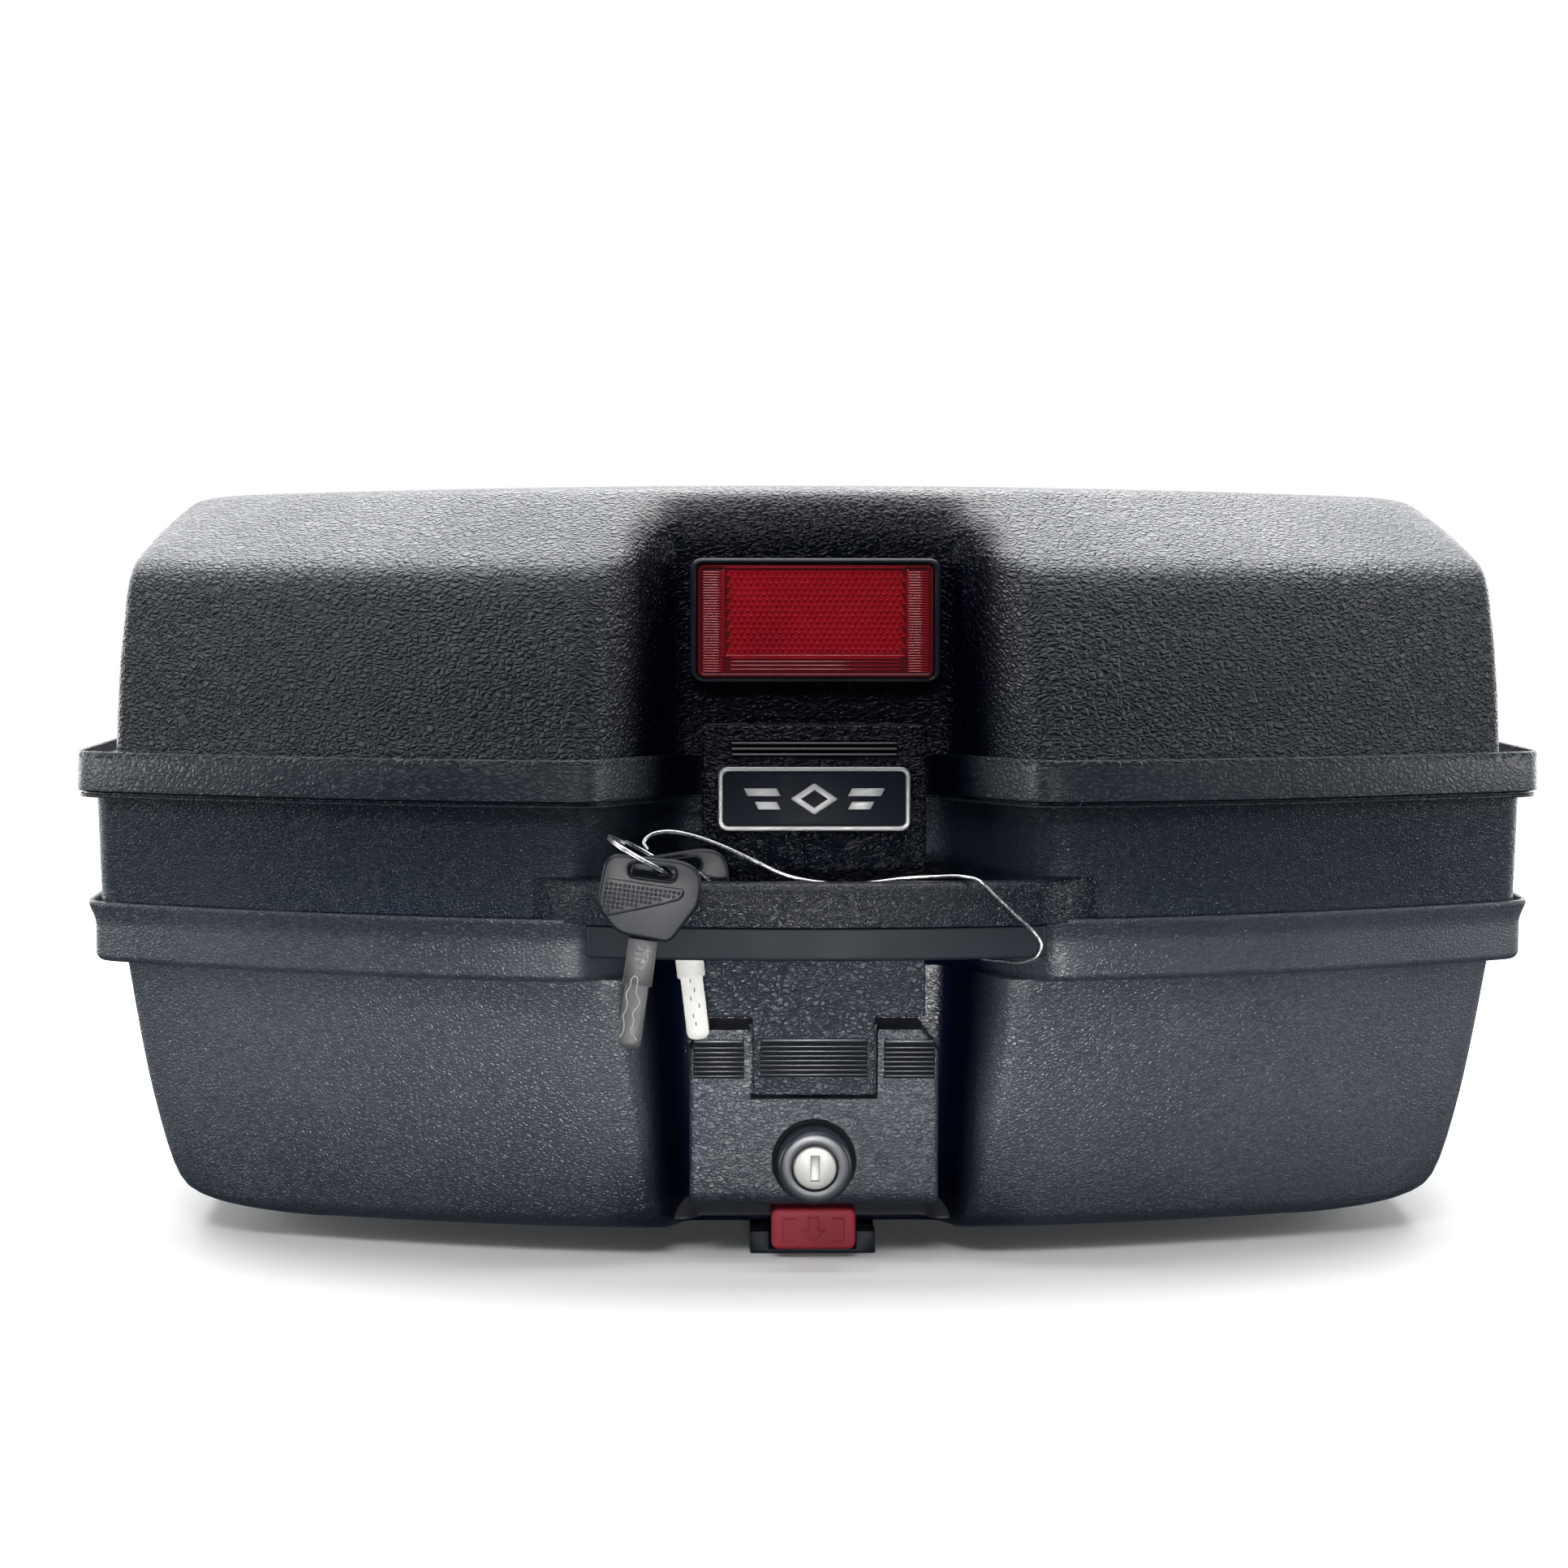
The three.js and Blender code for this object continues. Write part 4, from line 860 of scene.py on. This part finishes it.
def make_bar():
    """The upper half of the handle. Its ends flare into the extension ring."""
    blend_from, blend_to = 80, 104
    stations = np.linspace(-blend_to, blend_to, 105)
    ring = inset(FLANGE, 8)
    sections = []
    for x in stations:
        wall = FRONT_Y + float(front_depth(ring, x))
        share = float(smooth_step(blend_from, blend_to, abs(x)))
        front = (1 - share) * bow_y(x, BAR["front"], BAR["end"], BAR["half"]) + share * (wall + 0.1)
        back = min(front + BAR["depth"], wall + 1.2)
        z0, z1 = BAR["split"] + GAP, BAR["z"][1]
        soft = 4.5 * (1 - 0.6 * share)
        sections.append(section(front, max(back, front + 1), z0, z1, (0.5, soft, soft, 0.8)))
    piece("handle_bar", bar_mesh(stations, sections), "case", "ring_plastic", BAR_GRAIN)


def make_band():
    """The smooth lower band of the handle, in front of the base flange."""
    half = BAR["half"] - 6
    stations = half * np.sin(np.linspace(-math.pi / 2, math.pi / 2, 81))
    sections = []
    for x in stations:
        front = bow_y(x, BAR["front"] + 0.6, BAR["end"] - 0.6, half)
        edge = max(half - abs(x), 0.0)
        ease = 2.2 - math.sqrt(max(2.2**2 - max(2.2 - edge, 0.0) ** 2, 0.0))
        z0, z1 = BAR["z"][0] + 0.5 * ease, BAR["split"] - 0.3 * ease
        sections.append(section(front + ease, front + BAR["depth"] - 0.2, z0, z1, (1.4, 0.7, 0.7, 1.4)))
    mesh = bar_mesh(stations, sections)
    piece("handle_band", mesh, "case", "smooth_plastic", BAND_BLACK)


make_bar()
make_band()


# ---- latch strap and badge

RIB_COUNT, RIB_PITCH, RIB_FOOT_Z = 7, 1.78, 68.2


def rib_field(x0, x1, front, sunk=1.3):
    """Fine smooth ribs across a sunken field, with a broader one on top, over a near-black sheet of
    painted shade on the field's floor.
    """
    ribs = []
    for i in range(RIB_COUNT):
        z = RIB_FOOT_Z + i * RIB_PITCH
        ribs.append((block((x0, x1), (front - 0.1, front + sunk + 0.3), (z - 0.36, z + 0.36), 0.25), 1))
    ribs.append((block((x0, x1), (front - 0.3, front + sunk + 0.3), (80.6, 81.9), 0.4), 1))
    ribs.append(painted_groove_shade((x0 - 0.15, x1 + 0.15), (67.25, 81.9), front + sunk))
    return ribs


def rib_pocket(x0, x1, front, sunk=1.3):
    return block((x0 - 0.2, x1 + 0.2), (front - 2, front + sunk), (67.2, 82.0), 0)


def painted_groove_shade(x, z, floor):
    """A thin near-black sheet on the floor of a sunken field: painted shade."""
    return block(x, (floor - 0.06, floor + 0.1), z, 0), 2


def make_strap():
    half, tongue = STRAP["half"], STRAP["tongue_half"]
    z0, z1 = STRAP["z"]
    front, back = STRAP["front"], STRAP["back"]
    outline = rounded_corners(
        [(-tongue, STRAP["tongue_z"]), (tongue, STRAP["tongue_z"]), (tongue, z0), (half, z0),
         (half, z1), (-half, z1), (-half, z0), (-tongue, z0)],
        (1.2, 1.2, 1.6, 1.2, 1.0, 1.0, 1.2, 1.6),
    )
    body = plate([outline], front, back, 0.8, 3)
    body = cut(
        body, block((-36, 36), (-168, -160), (96, 186), 0), block((-9, 9), (-166, -160), (67, 78), 0),
        rib_pocket(-20, 20, front), block((-31.4, 31.4), (front - 2, front + 1.2), (188.0, 194.4), 0),
    )
    # The three top ribs are pale grey, a painted highlight along black ribs; a near-black sheet of
    # painted shade lies between them.
    top_ribs = []
    for i in range(3):
        z = 189.1 + 2.13 * i
        top_ribs.append((block((-31, 31), (front - 0.15, front + 1.6), (z - 0.4, z + 0.4), 0.28), 3))
    top_ribs.append(painted_groove_shade((-31.3, 31.3), (188.05, 194.35), front + 1.2))
    boss = moved(rod(4.6, -24, 24), turn(-90, "Z"), (0, -156, 196))
    web = block((-24, 24), (back - 0.5, -156), (191.6, 199.5), 0.6)
    stiffeners = [block((x - 0.9, x + 0.9), (-168.4, back), (96, 186), 0.3) for x in (-18, 0, 18)]
    mesh = merged([body, *rib_field(-20, 20, front), *top_ribs, boss, web, *stiffeners])
    materials = (STRAP_GRAIN, SATIN_BLACK, GROOVE_PAINTED_SHADE, RIB_PAINTED_HIGHLIGHT)
    piece("latch_strap", mesh, "strap", "grained_shell", *materials)


BADGE_FRONT, BADGE_BACK = -175.2, -173.1
EMBLEM_BACK, EMBLEM_Z = -174.2, 172.5


def emblem():
    """A plain generic mark: a lozenge ring between two pairs of slanted bars."""
    lozenge = rounded_corners([(9, 0), (0, 6), (-9, 0), (0, -6)], (0.8,) * 4)
    marks = [[lozenge, [(5, 0), (0, 3.3), (-5, 0), (0, -3.3)]]]
    for side in (-1, 1):
        for z0, z1, reach in ((1, 4, 25), (-4, -1, 21)):
            bar = [(12.5, z0), (reach, z0), (reach + 1.5, z1), (14, z1)]
            points = [(side * x, z) for x, z in bar][::side]
            marks.append([rounded_corners(points, (0.5,) * 4)])
    lifted = [[[(x, z + EMBLEM_Z) for x, z in outline] for outline in mark] for mark in marks]
    return merged([plate(mark, BADGE_FRONT, EMBLEM_BACK, 0.2) for mark in lifted])


def make_badge():
    rim = [rounded_rect(-36, 36, 160.5, 184.5, 3.6), rounded_rect(-34.2, 34.2, 162.3, 182.7, 2.2)]
    mesh = plate(rim, BADGE_FRONT, BADGE_BACK, 0.45, 3)
    piece("badge_frame", mesh, "strap", "badge_metal", BADGE_SILVER, finish="plated")
    field = plate([rounded_rect(-34.3, 34.3, 162.2, 182.8, 2)], -174.5, BADGE_BACK, 0.1)
    piece("badge_plate", field, "strap", "smooth_plastic", BADGE_FIELD, finish="printed")
    piece("badge", emblem(), "strap", "badge_metal", BADGE_SILVER, finish="emblem")


make_strap()
make_badge()


# ---- lock block

def block_body():
    """The lock's housing: rounded upright edges, chamfered shoulders and a face that rolls under."""
    roll = 7
    z0, z1 = BLOCK["z"]
    levels = [z0 + roll * (1 - math.cos(a)) for a in np.linspace(0, math.pi / 2, 9)]
    levels += [32, 45, 60, 70, z1 - 8, z1 - 4, z1]
    rings = []
    for z in levels:
        low = max(roll - (z - z0), 0.0)
        front = BLOCK["front"] + roll - math.sqrt(roll**2 - low**2)
        half = BLOCK["half"] - 0.75 * max(z - (z1 - 8), 0)
        corners = [(-half, front), (half, front), (half, BLOCK["back"]), (-half, BLOCK["back"])]
        outline = rounded_corners(corners, (2.2, 2.2, 0.6, 0.6))
        rings.append((np.array([(x, y, z) for x, y in outline]), OUTER))
    return skin(rings)


def notch_tool():
    z1 = BLOCK["z"][1]
    floor = BLOCK["notch_z"]
    outline = rounded_corners(
        [(-24, floor), (24, floor), (24, z1), (30, z1 + 4), (-30, z1 + 4), (-24, z1)],
        (0.6, 0.6, 2.2, 0, 0, 2.2),
    )
    return plate([outline], -180, -161.5, 0.01, 0)


def padlock(x, z, opened):
    """A padlock pictogram in thin raised lines."""
    front = BLOCK["front"]
    body = rounded_rect(x - 2.1, x + 2.1, z - 2.2, z + 0.6, 0.4)
    lines = [wire_mesh([(a, front, b) for a, b in body], 0.22, cyclic=True)]
    foot_z, arch_z = z + 0.6, z + (1.9 if opened else 1.1)
    turns = np.linspace(0, math.pi, 10)
    arch = [(x + 1.2 * math.cos(a), front, arch_z + 1.2 * math.sin(a)) for a in turns]
    foot = [(x - 1.2, front, foot_z)]
    start = [] if opened else [(x + 1.2, front, foot_z)]
    lines.append(wire_mesh([*start, *arch, *foot], 0.22))
    return lines


def turn_arrow():
    """A curved arrow from the locked mark to the open one, with a head at each end."""
    front = BLOCK["front"]
    radius = 22.5
    first, last = math.radians(63), math.radians(13)
    at = lambda r, a: (LOCK_X + r * math.cos(a), front, LOCK_Z + r * math.sin(a))
    lines = []
    for r in (radius - 0.45, radius + 0.45):
        lines.append(wire_mesh([at(r, a) for a in np.linspace(first - 0.1, last + 0.14, 16)], 0.16))
    for tip, root in ((first, first - 0.12), (last, last + 0.15)):
        head = [at(radius - 1.6, root), at(radius, tip), at(radius + 1.6, root)]
        lines.append(wire_mesh(head, 0.16, cyclic=True))
    return lines


SEAT_DEPTH = 2.4


def at_lock(mesh, y=0, matrix=Matrix.Identity(4)):
    return moved(mesh, matrix, (LOCK_X, y, LOCK_Z))


def make_lock_block():
    front = BLOCK["front"]
    floor = front + SEAT_DEPTH
    seat = at_lock(rod(16, front - 4, floor, 96, 0.01))
    barrel = at_lock(rod(9.6, front - 4, -140, 64, 0.01))
    catch_way = block((-8.4, 8.4), (-164, -140), (67.6, 77.4), 0)
    body = cut(
        block_body(), notch_tool(), seat, barrel, catch_way,
        rib_pocket(26.5, 45.2, front), rib_pocket(-45.2, -26.5, front),
    )
    parts = [body, *rib_field(26.5, 45.2, front), *rib_field(-45.2, -26.5, front)]
    parts += [*padlock(LOCK_X, LOCK_Z + 20.4, False), *padlock(LOCK_X + 25.5, LOCK_Z + 1, True)]
    # A near-black ring on the floor of the lock's seat: painted shade.
    seat_painted_shade = cut(
        at_lock(rod(15.95, floor - 0.06, floor + 0.1, 96, 0.01)),
        at_lock(rod(9.7, floor - 1, floor + 1, 64, 0.01)),
    )
    mesh = merged([*parts, *turn_arrow(), (seat_painted_shade, 2)])
    materials = (BLOCK_GRAIN, SATIN_BLACK, GROOVE_PAINTED_SHADE)
    piece("lock_block", mesh, "case", "grained_shell", *materials)


BEZEL_PROFILE = [
    (8.5, -190.2), (8.8, -190.9), (9.2, -191), (12.2, -191), (13.0, -190.7), (13.6, -190.1),
    (13.9, -189.2), (13.9, -173.9), (9.4, -173.9), (9.4, -141), (8.5, -141),
]
PLUG_PROFILE = [
    (0, -190.6), (7.2, -190.6), (7.7, -190.45), (8.05, -190.0), (8.2, -189.4), (8.2, -137.6),
    (0, -137.6),
]
SHUTTER_LEAN = -13


def make_lock():
    bezel = at_lock(turned(BEZEL_PROFILE))
    piece("lock_bezel", bezel, "case", "smooth_plastic", SATIN_BLACK)
    keyway = at_lock(block((-1.75, 1.75), (-193, -186.5), (-4.9, 4.9), 0))
    shutter = block((-1.72, 1.72), (-0.4, 0.4), (-4.85, 4.85), 0.15)
    at_lock(shutter, -188.8, turn(SHUTTER_LEAN, "X"))
    mesh = merged([cut(at_lock(turned(PLUG_PROFILE)), keyway), shutter])
    piece("lock_plug", mesh, "plug", "steel", PLUG_STEEL, finish="turned")


make_lock_block()
make_lock()


# ---- reflector

LENS_X = (REFLECTOR_X - 44.9, REFLECTOR_X + 44.9)
LENS_Z = (217.6, 260.3)
LENS_FRONT = -153.2
FIELD_X = (REFLECTOR_X - 34.4, REFLECTOR_X + 34.4)
FIELD_Z = (226.6, 258.8)


def make_housing():
    (x0, x1), (z0, z1) = LENS_X, LENS_Z
    outer = rounded_rect(REFLECTOR_X - 47.9, REFLECTOR_X + 47.9, 215.6, 262.9, 4.5)
    inner = rounded_rect(x0 - 0.3, x1 + 0.3, z0 - 0.3, z1 + 0.3, 2.6)
    floor = rounded_rect(REFLECTOR_X - 46.5, REFLECTOR_X + 46.5, 217, 261.5, 3)
    mesh = merged([plate([outer, inner], -153.6, -147.7, 1.3, 4), plate([floor], -149.2, -147.7, 0.2)])
    piece("reflector_housing", mesh, "lid", "smooth_plastic", SATIN_BLACK)


def prism_field():
    """Rows of raised three-sided prisms that point up and down in turn, each other one lower."""
    pitch_x, pitch_z, slack = 2.42, 2.1, 0.2
    high, low = 0.55, 0.12
    (x0, x1), (z0, z1) = FIELD_X, FIELD_Z
    base = LENS_FRONT + 0.5
    points, faces = [], []
    for row in range(int((z1 - z0) / pitch_z)):
        z = z0 + pitch_z * row
        top = z + pitch_z
        for column in range(int((x1 - x0) / pitch_x)):
            x = x0 + pitch_x * (column + (0.5 if row % 2 else 0.05))
            peak, right, far = x + pitch_x / 2, x + pitch_x, x + 1.5 * pitch_x
            upright = (right, low, [(x, z), (right, z), (peak, top)])
            hanging = (far, high, [(peak, top), (right, z), (far, top)])
            for reach, height, corners in (upright, hanging):
                if reach > x1 + slack:
                    break
                start = len(points)
                points += [(a, base, b) for a, b in corners]
                centre_x, centre_z = (sum(axis) / 3 for axis in zip(*corners))
                points.append((centre_x, base - height, centre_z))
                faces += [(start + k, start + (k + 1) % 3, start + 3) for k in range(3)]
    return mesh_from(points, faces)


def make_lens():
    (x0, x1), (z0, z1), front = LENS_X, LENS_Z, LENS_FRONT
    (fx0, fx1), (fz0, fz1) = FIELD_X, FIELD_Z
    outline = rounded_rect(x0, x1, z0, z1, 2.3)
    body = plate([outline], front + 0.5, -149.0, 0.35)
    opening = rounded_rect(x0 + 1.3, x1 - 1.3, z0 + 1.3, z1 - 1.3, 1.4)
    edge = plate([outline, opening], front - 0.1, front + 1.2, 0.3)
    parts = [(body, 1), (edge, 1), prism_field()]

    def rib(x, z, sunk, depth, rounding=0.2, segments=2):
        parts.append(block(x, (front + sunk, front + depth), z, rounding, segments))

    ribs = 39
    for i in range(ribs):
        z = z0 + 2.2 + i * (z1 - z0 - 4.0) / ribs
        for side in ((x0 + 2.0, fx0 - 0.9), (fx1 + 0.9, x1 - 2.0)):
            rib(side, (z - 0.3, z + 0.3), 0.05, 0.8)
    for i, height in enumerate((0.5, 0.5, 0.5, 0.8)):
        z = z0 + 3.0 + i * 1.45
        rib((fx0 + 2, fx1 - 2), (z - height / 2, z + height / 2), 0.05, 0.9)
    rib((fx0, fx1), (fz0 - 1.5, fz0 - 0.4), -0.1, 0.8, 0.4, 3)
    rib((fx0, fx1), (fz1 + 0.1, fz1 + 0.9), -0.15, 0.9, 0.3, 3)
    for x in (fx0 - 0.7, fx1 + 0.7):
        rib((x - 0.35, x + 0.35), (fz0 - 1.5, z1 - 1.6), -0.05, 0.8, 0.25)
    piece("reflector_lens", merged(parts), "lid", "lens_red", LENS_RED, LENS_DEEP, sharp=20)


make_housing()
make_lens()


# ---- release button

def make_button():
    front = -170
    pad = plate([rounded_rect(-16, 16, *BUTTON_Z, 3)], front, -154, 1.4, 4)
    stem = block((-9, 9), (-155, -141), STEM_Z, 0.4)
    arrow = [(0, 3.8), (4.4, 8.4), (2.0, 8.4), (2.0, 13.0), (-2.0, 13.0), (-2.0, 8.4), (-4.4, 8.4)]
    outline = [(x, front - 0.05, z) for x, z in rounded_corners(arrow, (0.5,) * 7)]
    marks = [wire_mesh(outline, 0.38, cyclic=True, sides=3)]
    for side in (-1, 1):
        bracket = [(side * 7.2, 12.6), (side * 11.6, 12.6), (side * 11.6, 4.2), (side * 7.2, 4.2)]
        marks.append(wire_mesh([(x, front - 0.05, z) for x, z in bracket], 0.38, sides=3))
    mesh = merged([pad, stem, *marks])
    piece("push_button", mesh, "release", "button_red", BUTTON_RED)


make_button()


# ---- keys and their ring

def path_points(start, steps):
    """An outline from straight and quadratic steps: a step is (point,) or (control, point)."""
    points = [start]
    for step in steps:
        if len(step) == 1:
            points.append(step[0])
            continue
        p0, p1, p2 = (np.array(q, float) for q in (points[-1], *step))
        points += [tuple(p) for p in bezier(p0, p1, p2, 6)[1:]]
    return points


HEAD_OUTLINE = path_points((-13.5, 4.7), [
    ((-17.4, 3.6), (-17.8, -1)), ((-18.2, -11),), ((-18.2, -15.5), (-14.5, -18.5)),
    ((-11, -23.2), (-6, -23.8)), ((7.5, -24.4),), ((9.5, -24.4), (11, -22)), ((17.8, -10),),
    ((18.4, -4), (17.8, -1)), ((16.6, 5), (8, 5.4)),
])
BLADE_OUTLINE = path_points((-5.2, -24.8), [
    ((-5.2, -41),), ((-4.2, -41.6),), ((-4.2, -61.5),), ((-4, -64.5), (0, -64.5)),
    ((4, -64.5), (4.2, -61.5)), ((4.2, -41.6),), ((5.2, -41),), ((5.2, -24.8),),
])
RIDGE = [(-14.2, -17.6), (-4, -14.0), (6.5, -10.2), (10.6, -8.4), (11.8, -6.8), (11.9, -5.2)]
GROOVE_LEFT = [
    (-1.2, -37.9), (-2.3, -39.4), (-2.3, -41.8), (-3.3, -44.4), (-3.2, -46.0), (-2.6, -47.4),
    (-2.7, -50.4), (-3.4, -52.7), (-2.8, -55.0), (-2.6, -58.2), (-3.6, -60.7),
]
GROOVE_RIGHT = [
    (-1.2, -37.9), (-0.2, -38.6), (0.1, -39.8), (0.1, -44.0), (1.7, -46.7), (1.3, -48.8), (-0.1, -51.3),
    (0.6, -54.5), (0.0, -57.8), (2.6, -60.8),
]


def hang(mesh, key):
    return moved(mesh, Matrix.Rotation(key["lean"], 4, "Y"), key["at"])


def key_head_mesh():
    """A moulded head: bevelled rim, slot with a raised lip, and a field of beads under a thin line."""
    face = -KEY_THICKNESS / 2
    body = plate([HEAD_OUTLINE[::-1], rounded_rect(-8.3, 8.3, -2.3, 2.3, 2.2)], face, -face, 1.2, 4)
    lip_line = rounded_rect(-8.8, 8.8, -2.8, 2.8, 2.6)
    lip = wire_mesh([(x, face + 0.15, z) for x, z in lip_line], 0.5, cyclic=True)
    ridge = wire_mesh([(x, face - 0.02, z) for x, z in RIDGE], 0.42)
    line = wire_mesh([(-16.2, face + 0.1, -4.3), (11.9, face + 0.1, -4.7)], 0.25)
    parts = [body, lip, ridge, line]
    bead, pitch = 0.58, 1.62
    for row in range(8):
        z = -6.2 - pitch * row
        for column in range(17):
            x = -15.6 + pitch * column
            if x > 10.6 or z < np.interp(x, *zip(*RIDGE)) + 1.2 or x < -15.9 + 0.25 * max(row - 5, 0) * 2:
                continue
            depth = (face - 0.45, face + 0.3)
            parts.append(block((x - bead, x + bead), depth, (z - bead, z + bead), 0.33, 2))
    return merged(parts)


def key_blade_parts(groove):
    """A blade whose broad faces have material 0 and whose edges have material 1."""
    body = plate([BLADE_OUTLINE[::-1]], -1.1, 1.1, 0.35, 1)
    indices = [0 if abs(p.normal.y) > 0.9 else 1 for p in body.polygons]
    body.polygons.foreach_set("material_index", indices)
    parts = [body]
    for line in groove:
        route = smooth_route([(x, -1.1, z) for x, z in line], 4)
        parts.append((wire_mesh(route, 0.17), 1))
    return parts


def make_keys():
    marks = []
    for x, z in ((-0.6, -42.5), (0.5, -46), (-1.2, -49), (1.6, -52), (-1.0, -55.5), (-0.4, -58.5)):
        marks.append((block((x - 0.2, x + 0.2), (-1.16, -0.9), (z - 0.8, z + 0.8), 0.05), 2))
    blade_a = merged(key_blade_parts([GROOVE_LEFT, GROOVE_RIGHT]))
    blade_b = merged([*key_blade_parts([]), *marks])
    for key, place, blade, slot, materials in (
        ("key_a", KEY_A, blade_a, "dark_steel", (DARK_STEEL, BRIGHT_STEEL)),
        ("key_b", KEY_B, blade_b, "steel", (BRIGHT_STEEL, STEEL, DARK_STEEL)),
    ):
        head = hang(key_head_mesh(), place)
        piece(f"{key}_head", head, key, "key_plastic", KEY_PLASTIC)
        piece(f"{key}_blade", hang(blade, place), key, slot, *materials, finish="ground")


def make_key_ring():
    """A split ring: a wire wound twice, its turns side by side."""
    radius, wire_radius = KEY_RING["radius"], 0.45
    points = []
    for a in np.linspace(0, 4 * math.pi, 145):
        rise = (a / (2 * math.pi) - 1) * wire_radius * 2
        step = rise * 0.5 + np.clip(rise, -0.45, 0.45) * 0.5
        points.append((radius * math.cos(a + 2.2), radius * math.sin(a + 2.2), step))
    mesh = wire_mesh(points, wire_radius, sides=3)
    moved(mesh, Matrix.Rotation(KEY_RING["pitch"], 4, "Y"), KEY_RING["at"])
    piece("key_ring", mesh, "case", "steel", STEEL, finish="wound")


make_keys()
make_key_ring()


# ---- CAD pieces that keep their shape

for node in ("coupling_plate", "release_bracket"):
    finished_copy(node, "case", "smooth_plastic", BRACKET_BLACK, 0.6)
for side in ("left", "right"):
    finished_copy(f"hinge_ring_leaf_{side}", "case", "smooth_plastic", SATIN_BLACK, 0.5)
    finished_copy(f"hinge_lid_leaf_{side}", "lid", "smooth_plastic", SATIN_BLACK, 0.5)
finished_copy("strap_bracket", "lid", "smooth_plastic", SATIN_BLACK, 0.3)
finished_copy("latch_catch", "catch", "dark_steel", STEEL, 0.4)
finished_copy("catch_keeper", "case", "steel", STEEL, 0.3)
finished_copy("release_hook", "release", "steel", STEEL, 0.4)
finished_copy("lock_cam", "plug", "steel", STEEL, 0.3)

SMALL_METAL = [n for n in NODES if "screw" in n or "pin" in n or "spring" in n or n == "cam_nut"]
for name in [*SMALL_METAL, "floor_mat"]:
    data = NODES[name].data
    data.materials.clear()
    data.materials.append(FELT if name == "floor_mat" else STEEL)


# ---- floor, light and world

def area_light(name, place, target, size, power, spread=180):
    data = bpy.data.lights.new(name, "AREA")
    data.shape = "RECTANGLE"
    data.size, data.size_y = size
    data.energy = power
    data.spread = math.radians(spread)
    lamp = linked(name, data)
    lamp.visible_camera = False
    lamp.location = place
    lamp.rotation_euler = (Vector(target) - Vector(place)).to_track_quat("-Z", "Y").to_euler()


def make_floor():
    radius, sides = 2.6, 96
    angles = np.linspace(0, 2 * math.pi, sides, endpoint=False)
    mesh = bpy.data.meshes.new("floor")
    rim = [(radius * math.cos(a), radius * math.sin(a), 0) for a in angles]
    mesh.from_pydata(rim, [], [tuple(range(sides))])
    shader = Shader("floor_white", (860, 860, 860), 0.9)
    color = shader.blend(shader.noise(3), (850, 850, 850), (870, 870, 870))
    mesh.materials.append(shader.finished(color))
    floor = linked("floor", mesh)
    floor.visible_glossy = False
    floor.visible_diffuse = False


def make_world():
    """White behind everything that the camera sees past, and a dim blue-grey fill for the rest."""
    world = bpy.data.worlds.new("studio")
    bpy.context.scene.world = world
    world.use_nodes = True
    tree = world.node_tree
    background = tree.nodes["Background"]
    background.inputs["Color"].default_value = (0.62, 0.8, 1.0, 1)
    background.inputs["Strength"].default_value = 0.10
    white = tree.nodes.new("ShaderNodeBackground")
    white.inputs["Color"].default_value = (1, 1, 1, 1)
    path = tree.nodes.new("ShaderNodeLightPath")
    mix = tree.nodes.new("ShaderNodeMixShader")
    tree.links.new(path.outputs["Is Camera Ray"], mix.inputs[0])
    tree.links.new(background.outputs[0], mix.inputs[1])
    tree.links.new(white.outputs[0], mix.inputs[2])
    tree.links.new(mix.outputs[0], tree.nodes["World Output"].inputs["Surface"])


def make_stage():
    make_floor()
    make_world()
    area_light("top_softbox", (0, 0.45, 1.5), (0, 0.1, 0.15), (2.4, 1.6), 74)
    area_light("back_wash", (0, 2.6, 1.8), (0, 1.6, 0), (3.2, 1.4), 70)
    area_light("front_wash", (0, -2.3, 1.8), (0, -2.0, 0), (4.2, 1.2), 75, spread=66)
    area_light("front_top", (-0.35, -1.5, 1.45), (0, -0.15, 0.15), (1.3, 0.5), 16)
    for side in (-1, 1):
        area_light("rim_panel", (1.05 * side, 1.05, 0.35), (0, 0, 0.15), (0.9, 0.7), 14)
        area_light("side_strip", (1.75 * side, -0.32, 0.35), (0.2 * side, -0.1, 0.18), (0.4, 0.8), 14)
    area_light("low_front", (0, -1.02, 0.09), (0, -0.18, 0.08), (1.5, 0.09), 1.0, spread=13)
    bpy.context.scene.view_settings.view_transform = "Standard"


make_stage()
